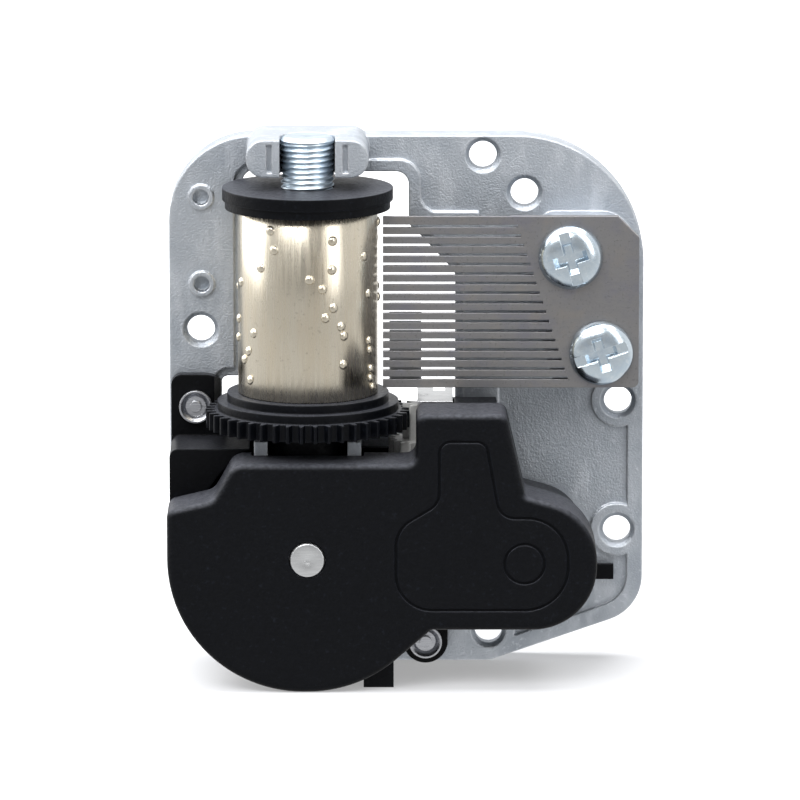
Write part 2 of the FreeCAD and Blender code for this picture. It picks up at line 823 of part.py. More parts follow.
def housing_rivets():
    """Two tubular rivets with cupped heads, each round a post."""
    rivets = []
    for x, z in lug_rivets:
        top = lug_thickness + rivet_head_height
        shank = rod_y(x, z, rivet_radius, -web, lug_thickness)
        head = rod_y(x, z, rivet_head_radius, lug_thickness, top)
        cup_start = at(x, top - rivet_cup_depth, z)
        cup = Part.makeCone(rivet_cup_floor, rivet_cup_mouth, rivet_cup_depth, cup_start, toward_viewer)
        cup = cup.cut(rod_y(x, z, rivet_post_radius, lug_thickness, top - rivet_cup_depth / 4))
        rivets.append(shank.fuse(head).cut(cup).removeSplitter())
    return Part.makeCompound(rivets)


def governor_bracket():
    """A bent sheet with tabs that carry the two vertical arbors of the governor."""
    back = base_floor
    front = back + bracket_sheet
    tabs = governor_tabs()
    left = tower_left + bracket_left_gap
    right = second_x + bracket_side
    flange_end = first_x + bracket_flange_reach
    sheet = block(left, right, back, front, tabs["second_low"], tabs["first_high"] + bracket_sheet)
    wheel_gap = first_wheel_radius + 2 * governor_module + bracket_notch_play
    notch_low = tabs["first_low"] + bracket_sheet
    notch_high = notch_low + first_wheel_face + bracket_notch_height
    notch = block(left - 1, first_x + wheel_gap, back - 1, front + 1, notch_low, notch_high)
    corner_low = tabs["second_high"] + bracket_sheet
    corner = block(flange_end, right + 1, back - 1, front + 1, corner_low, tower_top + 1)
    sheet = sheet.cut([notch, corner])
    flange_front = cover_back - side_gap
    tab_left = second_x - bracket_second_reach
    first_front = first_d + bracket_tab_reach
    second_front = second_d + bracket_tab_reach
    for x_from, x_to, tab_front, low in [
        (left, flange_end, flange_front, tabs["first_high"]),
        (left, first_x + bracket_tab_reach, first_front, tabs["first_low"]),
        (tab_left, right, second_front, tabs["second_high"]),
        (tab_left, right, second_front, tabs["second_low"]),
    ]:
        sheet = sheet.fuse(block(x_from, x_to, back, tab_front, low, low + bracket_sheet))
    notch_left = first_x + flange_notch_from
    flange_notch = block(notch_left, notch_left + flange_notch_width, back - 1, back + flange_notch_depth,
                         tabs["first_high"] - bracket_sheet, tower_top + 1)
    bore = pivot_radius + fixed_gap
    return sheet.cut([
        flange_notch,
        rod_z(first_x, first_d, bore, tabs["first_low"] - 1, tabs["first_high"] + 2),
        rod_z(second_x, second_d, bore, tabs["second_low"] - 1, tabs["second_high"] + 2),
    ]).removeSplitter()


def governor_tabs():
    """Undersides of the bracket's four tabs."""
    wheel_bottom = first_wheel_bottom()
    return {
        "first_low": wheel_bottom - side_gap - bracket_sheet,
        "first_high": tower_top - bracket_sheet + bracket_proud,
        "second_high": wheel_bottom + second_pinion_face + bracket_play,
        "second_low": worm_height - worm_wheel_face / 2 - bracket_play - bracket_sheet,
    }


def first_wheel_bottom():
    return gear_bottom - first_wheel_drop - first_wheel_face


def gear_turn():
    """The angle of the line from the cylinder's axis to the first governor arbor."""
    return math.atan2(cylinder_d - first_d, first_x - axis_x)


def cylinder_gear():
    """One moulding: the sleeve's seat, the large wheel, the lower journal and the drive pinion."""
    turn = gear_turn() + math.pi / cylinder_teeth
    wheel = spur_wheel(axis_x, cylinder_d, cylinder_teeth, drive_module, turn, gear_bottom, gear_top)
    turn = math.pi / 2
    pinion = spur_wheel(axis_x, cylinder_d, drive_pinion_teeth, crown_module, turn, pinion_bottom, pinion_top)
    body = wheel.fuse([
        rod_z(axis_x, cylinder_d, flange_radius, gear_top, flange_top),
        rod_z(axis_x, cylinder_d, seat_radius, flange_top, sleeve_bottom),
        rod_z(axis_x, cylinder_d, sleeve_radius - sleeve_wall, sleeve_bottom, sleeve_bottom + plug_depth),
        rod_z(axis_x, cylinder_d, journal_radius, pinion_top, gear_bottom),
        pinion,
    ])
    return body.cut(rod_z(axis_x, cylinder_d, spindle_radius, 0, sleeve_top)).removeSplitter()


def cylinder_cap():
    cap = rod_z(axis_x, cylinder_d, cap_neck_radius, sleeve_top, cap_neck_top)
    cap = cap.fuse([
        rod_z(axis_x, cylinder_d, cap_radius, cap_neck_top, cap_top),
        rod_z(axis_x, cylinder_d, sleeve_radius - sleeve_wall, sleeve_top - plug_depth, sleeve_top),
    ])
    cap = cap.cut(rod_z(axis_x, cylinder_d, shaft_radius, sleeve_top, cap_top + 1))
    return cap.cut(rod_z(axis_x, cylinder_d, spindle_radius, 0, cap_top)).removeSplitter()


def output_shaft():
    """A turned spindle with a thick threaded end, which is left plain here."""
    shaft = rod_z(axis_x, cylinder_d, shaft_radius, sleeve_top, shaft_top - shaft_chamfer)
    tip = at(axis_x, cylinder_d, shaft_top - shaft_chamfer)
    shaft = shaft.fuse([
        Part.makeCone(shaft_radius, shaft_radius - shaft_chamfer, shaft_chamfer, tip),
        rod_z(axis_x, cylinder_d, spindle_radius, pinion_bottom - side_gap, sleeve_top),
    ])
    return shaft.removeSplitter()


def pin_ring(centre, way, radius):
    """A polygon about an outward direction, which bounds one end of a tune pin."""
    up = FreeCAD.Vector(0, 0, 1)
    across = way.cross(up)
    points = []
    for i in range(pin_sides):
        angle = 2 * math.pi * i / pin_sides
        points.append(centre + up * (radius * math.cos(angle)) + across * (radius * math.sin(angle)))
    return Part.makePolygon(points + points[:1])


def tune_pin(z, angle):
    way = FreeCAD.Vector(math.cos(angle), math.sin(angle), 0)
    axis = at(axis_x, cylinder_d, z)
    root = pin_ring(axis + way * (sleeve_radius - sleeve_wall / 2), way, pin_base_radius)
    tip = pin_ring(axis + way * (sleeve_radius + pin_height), way, pin_tip_radius)
    return Part.makeLoft([root, tip], True, True)


def cylinder_sleeve():
    """A pinned tube. Each comb tooth has its own row of pins, spread by the golden angle."""
    sleeve = rod_z(axis_x, cylinder_d, sleeve_radius, sleeve_bottom, sleeve_top)
    golden = math.pi * (3 - math.sqrt(5))
    pins = []
    for row in range(note_count):
        z = comb_bottom + (row + 0.5) * note_pitch
        for i in range(pins_per_row):
            angle = golden * (row * pins_per_row + i) + 2 * math.pi * i / pins_per_row
            pins.append(tune_pin(z, angle))
    sleeve = sleeve.fuse(pins)
    bore = rod_z(axis_x, cylinder_d, sleeve_radius - sleeve_wall, sleeve_bottom - 1, sleeve_top + 1)
    return sleeve.cut(bore).removeSplitter()


def crown_tooth(angle):
    """A radial tooth on the barrel's back face, pointing at the bedplate."""
    half = crown_tooth_share * math.pi * crown_module / 2
    height = crown_module * addendum_share
    depth = crown_module * dedendum_share
    half_tip = half - flank_slope * height
    half_root = half + flank_slope * depth
    tip_d = crown_pitch_d - height
    inner = crown_radius - crown_tooth_length / 2
    flanks = [(-half_root, barrel_back), (half_root, barrel_back), (half_tip, tip_d), (-half_tip, tip_d)]
    corners = [at(x, d, inner) for x, d in flanks]
    length = FreeCAD.Vector(0, 0, crown_tooth_length)
    tooth = Part.Face(Part.makePolygon(corners + corners[:1])).extrude(length)
    tooth.rotate(FreeCAD.Vector(0, 0, 0), FreeCAD.Vector(0, 1, 0), math.degrees(angle))
    tooth.translate(FreeCAD.Vector(axis_x, 0, drum_z))
    return tooth


def spring_barrel():
    """The mainspring's drum, with a ring of crown teeth behind it and a neck on the arbor."""
    inside = barrel_radius - barrel_wall
    drum = rod_y(axis_x, drum_z, barrel_radius, barrel_back, barrel_front)
    drum = drum.cut(rod_y(axis_x, drum_z, inside, barrel_back + barrel_wall, barrel_front + 1))
    drum = drum.fuse(rod_y(axis_x, drum_z, neck_radius, barrel_back - neck_length, barrel_back))
    pitch = 2 * math.pi / crown_teeth
    drum = drum.fuse([crown_tooth((i + 0.5) * pitch) for i in range(crown_teeth)])
    return drum.cut(rod_y(axis_x, drum_z, winding_radius + running_gap, 0, barrel_front + 1)).removeSplitter()


def barrel_lid():
    lid = rod_y(axis_x, drum_z, barrel_radius - barrel_wall, barrel_front - lid_thickness, barrel_front)
    return lid.cut(rod_y(axis_x, drum_z, winding_radius + running_gap, 0, barrel_front + 1))


def spiral_edges(radius, step, turns):
    """Half circles about two centres, which wind inwards by one step in each turn."""
    edges = []
    side = 1
    x = radius
    for i in range(2 * turns):
        reach = radius - i * step / 2
        far = x - side * (2 * reach - step / 2)
        centre = (x + far) / 2
        bow = (2 * reach - step / 2) / 2
        peak = FreeCAD.Vector(centre, 0, side * bow)
        edges.append(Part.Arc(FreeCAD.Vector(x, 0, 0), peak, FreeCAD.Vector(far, 0, 0)).toShape())
        x = far
        side = -side
    return edges, x


def mainspring():
    """A flat strip wound inside the barrel, from its wall to just clear of the arbor."""
    outer = barrel_radius - barrel_wall - running_gap
    inner = arbor_core_radius + 2 * side_gap + spring_thickness
    step = (outer - inner) / spring_turns
    outside, outside_end = spiral_edges(outer, step, spring_turns)
    inside, inside_end = spiral_edges(outer - spring_thickness, step, spring_turns)
    outer_end = FreeCAD.Vector(outer, 0, 0)
    start = Part.LineSegment(outer_end, FreeCAD.Vector(outer - spring_thickness, 0, 0)).toShape()
    end = Part.LineSegment(FreeCAD.Vector(outside_end, 0, 0), FreeCAD.Vector(inside_end, 0, 0)).toShape()
    outline = Part.Wire(Part.__sortEdges__(outside + [end] + inside + [start]))
    outline.translate(FreeCAD.Vector(axis_x, 0, drum_z))
    return prism(outline, barrel_back + barrel_wall + side_gap, barrel_front - lid_thickness - side_gap)


def winding_arbor():
    """The arbor that the spring is wound on, with a stem behind the bedplate for a key."""
    hub_front = barrel_back - neck_length - side_gap
    arbor = rod_y(axis_x, drum_z, winding_radius, hub_front, winding_front)
    core_back = barrel_back + barrel_wall + side_gap
    core_front = barrel_front - lid_thickness - side_gap
    return arbor.fuse([
        rod_y(axis_x, drum_z, stem_radius, -back_reach, -skirt_depth),
        rod_y(axis_x, drum_z, clutch_seat_radius, -skirt_depth, hub_front),
        rod_y(axis_x, drum_z, arbor_core_radius, core_back, core_front),
    ]).removeSplitter()


def clutch_spring():
    """The wound one-way clutch that grips the winding arbor, held by the housing."""
    radius = clutch_seat_radius + running_gap + clutch_wire
    middle = base_floor + 2 * side_gap + clutch_wire + clutch_turns * clutch_pitch / 2
    return coil(radius, clutch_pitch, clutch_turns, clutch_wire, 0, 1, axis_x, middle, drum_z)


def first_wheel():
    """The governor's first wheel below its pinion, in one moulding."""
    low = first_wheel_bottom()
    turn = gear_turn() + math.pi
    top = gear_top + pinion_overlap
    pinion = spur_wheel(first_x, first_d, first_pinion_teeth, drive_module, turn, low + first_wheel_face, top)
    wheel_turn = math.atan2(first_d - second_d, second_x - first_x)
    wheel_high = low + first_wheel_face
    wheel = spur_wheel(first_x, first_d, first_wheel_teeth, governor_module, wheel_turn, low, wheel_high)
    return wheel.fuse(pinion).cut(rod_z(first_x, first_d, arbor_radius, 0, tower_top)).removeSplitter()


def stepped_arbor(x, d, pivot_low, body_low, body_high, pivot_high):
    arbor = rod_z(x, d, arbor_radius, body_low, body_high)
    return arbor.fuse([
        rod_z(x, d, pivot_radius, pivot_low, body_low),
        rod_z(x, d, pivot_radius, body_high, pivot_high),
    ]).removeSplitter()


def first_arbor():
    tabs = governor_tabs()
    low = tabs["first_low"] + bracket_sheet
    high = tabs["first_high"]
    body_low, body_high = low + fixed_gap, high - fixed_gap
    return stepped_arbor(first_x, first_d, low - bracket_sheet, body_low, body_high, high + bracket_sheet)


def second_arbor():
    tabs = governor_tabs()
    low = tabs["second_low"] + bracket_sheet
    high = tabs["second_high"]
    body_low, body_high = low + fixed_gap, high - fixed_gap
    return stepped_arbor(second_x, second_d, low - bracket_sheet, body_low, body_high, high + bracket_sheet)


def second_wheel():
    """The second pinion, its long hub and the worm wheel, in one moulding."""
    low = first_wheel_bottom()
    line = math.atan2(first_d - second_d, second_x - first_x)
    turn = line + math.pi + math.pi / second_pinion_teeth
    pinion_low = low - pinion_overlap
    pinion_high = pinion_low + second_pinion_face
    teeth = second_pinion_teeth
    pinion = spur_wheel(second_x, second_d, teeth, governor_module, turn, pinion_low, pinion_high)
    wheel_low = worm_height - worm_wheel_face / 2
    wheel_high = wheel_low + worm_wheel_face
    wheel = spur_wheel(second_x, second_d, worm_wheel_teeth, governor_module, 0, wheel_low, wheel_high)
    hub = rod_z(second_x, second_d, second_pinion_radius - governor_module * dedendum_share, wheel_low, low)
    bore = rod_z(second_x, second_d, arbor_radius, 0, tower_top)
    return wheel.fuse([hub, pinion]).cut(bore).removeSplitter()


def worm_shaft():
    """The steel arbor of the fan, with its endless screw."""
    pitch = math.pi * governor_module
    thread_radius = worm_core + worm_wire - running_gap / 2
    thread = coil(thread_radius, pitch, worm_turns, worm_wire, math.pi / 2, 1, worm_x, second_d, worm_height)
    length = (worm_turns + worm_core_spare) * pitch
    core = rod_y(worm_x, worm_height, worm_core, second_d - length / 2, second_d + length / 2)
    front = cover_front - cover_wall - worm_boss_height
    back = base_floor + worm_bearing_height + side_gap
    arbor = rod_y(worm_x, worm_height, arbor_radius, back, front - fixed_gap)
    pivot_back = base_floor / 2 + fixed_gap
    pivot_front = cover_front - cover_wall / 2 - fixed_gap
    pivots = rod_y(worm_x, worm_height, pivot_radius, pivot_back, pivot_front)
    return core.fuse([thread, arbor, pivots]).removeSplitter()


def fan():
    """A hub with two flat wings that beat the air."""
    front = cover_front - cover_wall - worm_boss_height - side_gap
    back = front - fan_width
    hub = rod_y(worm_x, worm_height, fan_hub_radius, back, front)
    wings = block(worm_x - fan_radius, worm_x + fan_radius, back, front,
                  worm_height - fan_thickness / 2, worm_height + fan_thickness / 2)
    return hub.fuse(wings).cut(rod_y(worm_x, worm_height, arbor_radius, 0, cover_front)).removeSplitter()


os.makedirs("parts", exist_ok=True)
save("bedplate", bedplate())
save("comb", comb())
save("comb_screws", Part.makeCompound([comb_screw(x, z) for x, z in comb_screws]))
save("tuning_weights", tuning_weights())
save("dampers", dampers())
save("housing_cover", housing_cover())
save("housing_base", housing_base())
save("housing_rivets", housing_rivets())
save("governor_bracket", governor_bracket())
save("clutch_spring", clutch_spring())
save("cylinder_gear", cylinder_gear())
save("cylinder_cap", cylinder_cap())
save("cylinder_sleeve", cylinder_sleeve())
save("output_shaft", output_shaft())
save("spring_barrel", spring_barrel())
save("barrel_lid", barrel_lid())
save("mainspring", mainspring())
save("winding_arbor", winding_arbor())
save("first_wheel", first_wheel())
save("first_arbor", first_arbor())
save("second_wheel", second_wheel())
save("second_arbor", second_arbor())
save("worm_shaft", worm_shaft())
save("fan", fan())
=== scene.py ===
import math
import bmesh
import bpy
from mathutils import Matrix, Vector


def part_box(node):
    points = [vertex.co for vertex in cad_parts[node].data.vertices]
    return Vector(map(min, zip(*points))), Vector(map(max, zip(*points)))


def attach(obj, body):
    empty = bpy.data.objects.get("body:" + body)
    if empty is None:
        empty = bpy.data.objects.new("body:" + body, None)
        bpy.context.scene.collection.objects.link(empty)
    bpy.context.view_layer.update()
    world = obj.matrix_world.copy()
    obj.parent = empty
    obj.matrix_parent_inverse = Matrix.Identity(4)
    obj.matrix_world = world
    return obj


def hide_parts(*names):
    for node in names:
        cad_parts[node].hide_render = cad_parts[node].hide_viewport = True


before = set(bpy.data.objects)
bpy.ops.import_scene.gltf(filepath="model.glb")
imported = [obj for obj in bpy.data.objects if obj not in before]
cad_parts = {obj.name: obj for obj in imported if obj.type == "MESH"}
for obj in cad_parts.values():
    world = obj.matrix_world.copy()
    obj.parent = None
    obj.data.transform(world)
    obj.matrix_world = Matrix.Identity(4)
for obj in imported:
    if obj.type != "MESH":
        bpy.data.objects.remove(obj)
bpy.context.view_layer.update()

# Sizes in metres, read from the solids or written once
MM = 0.001
face_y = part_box("housing_base")[1].y
cap_low, cap_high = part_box("cylinder_cap")
shaft_low, shaft_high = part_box("output_shaft")
arbor_low, arbor_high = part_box("winding_arbor")
screws_low, screws_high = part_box("comb_screws")
comb_low, comb_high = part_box("comb")
cylinder_x = (cap_low.x + cap_high.x) / 2
cylinder_y = (cap_low.y + cap_high.y) / 2
winding_x = (arbor_low.x + arbor_high.x) / 2
winding_z = (arbor_low.z + arbor_high.z) / 2
sleeve_low, sleeve_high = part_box("cylinder_sleeve")
shaft_radius = 2.5 * MM
thread_pitch = 0.5 * MM
thread_depth = 0.24 * MM
thread_run_out = 0.4 * MM
thread_seat_drop = 1.9 * MM
shaft_chamfer = 0.35 * MM
spindle_radius = 1.0 * MM
stem_radius = 2.0 * MM
stem_pitch = 0.7 * MM
stem_depth = 0.3 * MM
stem_length = 6.0 * MM
stem_run_out = 0.5 * MM
stem_lead_in = 0.4 * MM
arbor_seat_radius = 2.2 * MM
arbor_tip_radius = 1.65 * MM
arbor_core_radius = 2.4 * MM
arbor_seat_setback = 8.725 * MM
arbor_core_start = 5.025 * MM
arbor_core_end = 2.3 * MM
screw_head_radius = 3.0 * MM
screw_head_height = 1.5 * MM
screw_shank_radius = 1.25 * MM
screw_shank_length = 5.5 * MM
cross_length = 4.3 * MM
cross_width = 1.3 * MM
cross_depth = 1.25 * MM
cross_taper = 0.55
slot_length = 7.0 * MM
slot_width = 1.0 * MM
slot_depth = 0.42 * MM
first_screw_turn = math.radians(106)
second_screw_turn = math.radians(18)
sleeve_radius = 6.52 * MM
sleeve_wall = 0.5 * MM
sleeve_lip = 0.12 * MM
pin_radius = 0.45 * MM
pin_height = 0.24 * MM
pin_rows = 18
pins_per_row = 3
tune_seed = 11


# Small builders for node trees

def add_node(tree, kind, values=None, **settings):
    """One node, with its socket values by name or place and its settings by name."""
    node = tree.nodes.new(kind)
    for key, value in settings.items():
        setattr(node, key, value)
    for key, value in (values or {}).items():
        node.inputs[key].default_value = value
    return node


def join(tree, *pairs):
    for source, target in pairs:
        tree.links.new(source, target)


def new_group(name, inputs, outputs):
    """An empty shader group with named sockets, its input node and its output node."""
    tree = bpy.data.node_groups.new(name, "ShaderNodeTree")
    for label, kind, value in inputs:
        socket = tree.interface.new_socket(name=label, in_out="INPUT", socket_type=kind)
        socket.default_value = value
    for label, kind in outputs:
        tree.interface.new_socket(name=label, in_out="OUTPUT", socket_type=kind)
    return tree, tree.nodes.new("NodeGroupInput"), tree.nodes.new("NodeGroupOutput")


def geometry_tree(name, inputs):
    """An empty geometry tree with named inputs, its input node and its output node."""
    tree = bpy.data.node_groups.new(name, "GeometryNodeTree")
    tree.interface.new_socket(name="Geometry", in_out="OUTPUT", socket_type="NodeSocketGeometry")
    for label, kind in inputs:
        tree.interface.new_socket(name=label, in_out="INPUT", socket_type=kind)
    return tree, tree.nodes.new("NodeGroupInput"), tree.nodes.new("NodeGroupOutput")


def calc(tree, operation, first, second=None):
    """One step of arithmetic on sockets or numbers."""
    node = add_node(tree, "ShaderNodeMath", operation=operation)
    for socket, value in zip(node.inputs, (first, second)):
        if isinstance(value, bpy.types.NodeSocket):
            tree.links.new(value, socket)
        elif value is not None:
            socket.default_value = value
    return node.outputs[0]


def close_tree(tree, shape, given, result):
    """Ends a geometry tree: its copies become real faces of one material."""
    real = add_node(tree, "GeometryNodeRealizeInstances")
    coated = add_node(tree, "GeometryNodeSetMaterial")
    join(
        tree,
        (shape, real.inputs["Geometry"]),
        (real.outputs["Geometry"], coated.inputs["Geometry"]),
        (given.outputs["Material"], coated.inputs["Material"]),
        (coated.outputs["Geometry"], result.inputs["Geometry"]),
    )
    return tree


def grow(tree, values):
    """The plain mesh that a geometry tree makes from these inputs."""
    host = bpy.data.objects.new(tree.name, bpy.data.meshes.new(tree.name))
    bpy.context.scene.collection.objects.link(host)
    modifier = host.modifiers.new("grow", "NODES")
    modifier.node_group = tree
    for item in tree.interface.items_tree:
        if item.in_out == "INPUT":
            modifier[item.identifier] = values[item.name]
    bpy.context.view_layer.update()
    graph = bpy.context.evaluated_depsgraph_get()
    mesh = bpy.data.meshes.new_from_object(host.evaluated_get(graph))
    bpy.data.objects.remove(host)
    return mesh


NUMBER = "NodeSocketFloat"
WHOLE = "NodeSocketInt"
ARROW = "NodeSocketVector"
SHAPE = "NodeSocketObject"
COATING = "NodeSocketMaterial"

# Places of a mix node's sockets, whose names repeat for each kind of data
NUMBER_A, NUMBER_B, NUMBER_MIXED = 2, 3, 0
COLOUR_A, COLOUR_B, COLOUR_MIXED = 6, 7, 2


def grain_group():
    """Noise stretched along any axis, from fine tooling marks to broad stains."""
    tree, given, result = new_group(
        "grain",
        [
            ("Scale", ARROW, (1000, 1000, 1000)), ("Detail", NUMBER, 4.0),
            ("Low", NUMBER, 0.3), ("High", NUMBER, 0.7),
        ],
        [("Mask", NUMBER)],
    )
    place = add_node(tree, "ShaderNodeTexCoord")
    stretch = add_node(tree, "ShaderNodeMapping")
    noise = add_node(tree, "ShaderNodeTexNoise", {"Scale": 1.0, "Roughness": 0.6})
    spread = add_node(tree, "ShaderNodeMapRange", interpolation_type="SMOOTHSTEP")
    join(
        tree,
        (place.outputs["Object"], stretch.inputs["Vector"]),
        (given.outputs["Scale"], stretch.inputs["Scale"]),
        (stretch.outputs["Vector"], noise.inputs["Vector"]),
        (given.outputs["Detail"], noise.inputs["Detail"]),
        (noise.outputs["Fac"], spread.inputs["Value"]),
        (given.outputs["Low"], spread.inputs["From Min"]),
        (given.outputs["High"], spread.inputs["From Max"]),
        (spread.outputs["Result"], result.inputs["Mask"]),
    )
    return tree


def edge_group():
    """A rounded normal at the edges of a piece, and a broken mask of the metal or plastic worn there, which
    the finishes also use to paint a highlight along the edges.
    """
    tree, given, result = new_group(
        "worn_edges",
        [("Radius", NUMBER, 0.15 * MM), ("Breakup", NUMBER, 0.5)],
        [("Normal", ARROW), ("Mask", NUMBER)],
    )
    rounded = add_node(tree, "ShaderNodeBevel", samples=6)
    plain = add_node(tree, "ShaderNodeNewGeometry")
    match = add_node(tree, "ShaderNodeVectorMath", operation="DOT_PRODUCT")
    edge = add_node(tree, "ShaderNodeMapRange", {"From Min": 0.99, "From Max": 0.8})
    place = add_node(tree, "ShaderNodeTexCoord")
    noise = add_node(tree, "ShaderNodeTexNoise", {"Scale": 900.0, "Detail": 3.0})
    broken = add_node(tree, "ShaderNodeMapRange", {"From Min": 0.35, "From Max": 0.6})
    whole = calc(tree, "SUBTRACT", 1.0, given.outputs["Breakup"])
    kept = calc(tree, "MAXIMUM", broken.outputs["Result"], whole)
    join(
        tree,
        (given.outputs["Radius"], rounded.inputs["Radius"]),
        (rounded.outputs["Normal"], match.inputs[0]),
        (plain.outputs["Normal"], match.inputs[1]),
        (match.outputs["Value"], edge.inputs["Value"]),
        (place.outputs["Object"], noise.inputs["Vector"]),
        (noise.outputs["Fac"], broken.inputs["Value"]),
        (rounded.outputs["Normal"], result.inputs["Normal"]),
        (calc(tree, "MULTIPLY", edge.outputs["Result"], kept), result.inputs["Mask"]),
    )
    return tree


def top_light_group():
    """A mask of painted top light: faces that look up are lightened, thinned by fine noise."""
    tree, given, result = new_group("settled_dust", [("Scale", NUMBER, 900.0)], [("Mask", NUMBER)])
    plain = add_node(tree, "ShaderNodeNewGeometry")
    parts = add_node(tree, "ShaderNodeSeparateXYZ")
    ends = {"From Min": 0.1, "From Max": 0.9}
    upward = add_node(tree, "ShaderNodeMapRange", ends, interpolation_type="SMOOTHSTEP")
    place = add_node(tree, "ShaderNodeTexCoord")
    noise = add_node(tree, "ShaderNodeTexNoise", {"Detail": 3.0})
    thin = add_node(tree, "ShaderNodeMapRange", {"From Min": 0.25, "From Max": 0.65, "To Min": 0.4})
    join(
        tree,
        (plain.outputs["Normal"], parts.inputs[0]),
        (parts.outputs["Z"], upward.inputs["Value"]),
        (place.outputs["Object"], noise.inputs["Vector"]),
        (given.outputs["Scale"], noise.inputs["Scale"]),
        (noise.outputs["Fac"], thin.inputs["Value"]),
        (calc(tree, "MULTIPLY", upward.outputs["Result"], thin.outputs["Result"]), result.inputs["Mask"]),
    )
    return tree


GRAIN = grain_group()
EDGES = edge_group()
TOP_LIGHT = top_light_group()


class Finish:
    """A material under construction: one principled shader that gains colours, roughness and relief."""

    def __init__(self, name, colour, metallic, roughness):
        self.material = bpy.data.materials.new(name)
        self.material.use_nodes = True
        self.tree = self.material.node_tree
        self.shader = self.tree.nodes["Principled BSDF"]
        self.shader.inputs["Metallic"].default_value = metallic
        self.shader.inputs["Base Color"].default_value = (*colour, 1)
        self.shader.inputs["Roughness"].default_value = roughness
        self.colour = None
        self.rough = None
        self.normal = None
        self.start_colour = (*colour, 1)
        self.start_rough = roughness

    def grain(self, scale, detail=4.0, low=0.3, high=0.7):
        size = (scale, scale, scale) if isinstance(scale, (int, float)) else scale
        node = add_node(self.tree, "ShaderNodeGroup", node_tree=GRAIN)
        node.inputs["Scale"].default_value = size
        node.inputs["Detail"].default_value = detail
        node.inputs["Low"].default_value = low
        node.inputs["High"].default_value = high
        return node.outputs["Mask"]

    def edges(self, radius, breakup=0.5):
        node = add_node(self.tree, "ShaderNodeGroup", node_tree=EDGES)
        node.inputs["Radius"].default_value = radius
        node.inputs["Breakup"].default_value = breakup
        self.normal = node.outputs["Normal"]
        return node.outputs["Mask"]

    # Mask of painted top light on faces that look up
    def top_light(self, scale):
        node = add_node(self.tree, "ShaderNodeGroup", node_tree=TOP_LIGHT)
        node.inputs["Scale"].default_value = scale
        return node.outputs["Mask"]

    def tint(self, mask, colour, amount=1.0):
        """Moves the base colour towards another where the mask is white."""
        mix = add_node(self.tree, "ShaderNodeMix", data_type="RGBA", clamp_factor=True)
        share = add_node(self.tree, "ShaderNodeMath", {1: amount}, operation="MULTIPLY")
        if self.colour is None:
            mix.inputs[COLOUR_A].default_value = self.start_colour
        else:
            self.tree.links.new(self.colour, mix.inputs[COLOUR_A])
        mix.inputs[COLOUR_B].default_value = (*colour, 1)
        join(self.tree, (mask, share.inputs[0]), (share.outputs[0], mix.inputs[0]))
        self.colour = mix.outputs[COLOUR_MIXED]
        self.tree.links.new(self.colour, self.shader.inputs["Base Color"])
        return self

    def gloss(self, mask, roughness, amount=1.0):
        """Moves the roughness towards another where the mask is white."""
        mix = add_node(self.tree, "ShaderNodeMix", data_type="FLOAT", clamp_factor=True)
        share = add_node(self.tree, "ShaderNodeMath", {1: amount}, operation="MULTIPLY")
        if self.rough is None:
            mix.inputs[NUMBER_A].default_value = self.start_rough
        else:
            self.tree.links.new(self.rough, mix.inputs[NUMBER_A])
        mix.inputs[NUMBER_B].default_value = roughness
        join(self.tree, (mask, share.inputs[0]), (share.outputs[0], mix.inputs[0]))
        self.rough = mix.outputs[NUMBER_MIXED]
        self.tree.links.new(self.rough, self.shader.inputs["Roughness"])
        return self

    def relief(self, height, depth, strength=1.0):
        """Bumps the surface by a mask, on top of any rounded edges."""
        bump = add_node(self.tree, "ShaderNodeBump", {"Strength": strength, "Distance": depth})
        self.tree.links.new(height, bump.inputs["Height"])
        if self.normal is not None:
            self.tree.links.new(self.normal, bump.inputs["Normal"])
        self.normal = bump.outputs["Normal"]
        self.tree.links.new(self.normal, self.shader.inputs["Normal"])
        return self


# Finishes
# Colour and noise scale of the painted top light that lightens faces looking up
top_light_scale = 2600.0
top_light_grey = (0.11, 0.115, 0.135)


def cast_zinc():
    finish = Finish("cast_zinc", (0.43, 0.46, 0.50), 1.0, 0.5)
    worn_and_lit = finish.edges(0.25 * MM, 0.4)
    stains = finish.grain(150, 6.0, 0.42, 0.66)
    flow = finish.grain((420, 420, 160), 6.0, 0.45, 0.68)
    sparkle = finish.grain(2400, 2.0, 0.60, 0.72)
    grit = finish.grain(5200, 3.0, 0.3, 0.7)
    finish.tint(stains, (0.33, 0.36, 0.40), 0.8).tint(flow, (0.55, 0.58, 0.62), 0.7)
    # The edge tint is partly wear and partly a painted highlight along the edges
    finish.tint(sparkle, (0.72, 0.75, 0.79), 0.3).tint(worn_and_lit, (0.78, 0.80, 0.83), 0.8)
    finish.gloss(stains, 0.62, 0.7).gloss(sparkle, 0.36, 0.7).gloss(worn_and_lit, 0.32, 0.8)
    return finish.relief(grit, 0.025 * MM, 0.7).relief(flow, 0.06 * MM, 0.4).material


def comb_steel():
    finish = Finish("comb_steel", (0.235, 0.231, 0.235), 1.0, 0.44)
    worn_and_lit = finish.edges(0.06 * MM, 0.6)
    brushed = finish.grain((1500, 1500, 7000), 4.0, 0.3, 0.7)
    blued = finish.grain(310, 5.0, 0.45, 0.68)
    tan = finish.grain(420, 5.0, 0.5, 0.7)
    pits = finish.grain(3800, 3.0, 0.56, 0.7)
    finish.tint(blued, (0.205, 0.205, 0.24), 0.8).tint(tan, (0.275, 0.255, 0.235), 0.6)
    finish.tint(brushed, (0.26, 0.255, 0.25), 0.35).tint(pits, (0.11, 0.11, 0.11), 0.45)
    # The edge tint is partly wear and partly a painted highlight along the edges
    finish.tint(worn_and_lit, (0.42, 0.42, 0.44), 0.5).gloss(brushed, 0.55, 0.5).gloss(pits, 0.6, 0.6)
    return finish.relief(brushed, 0.006 * MM, 0.4).relief(pits, 0.012 * MM, 0.4).material


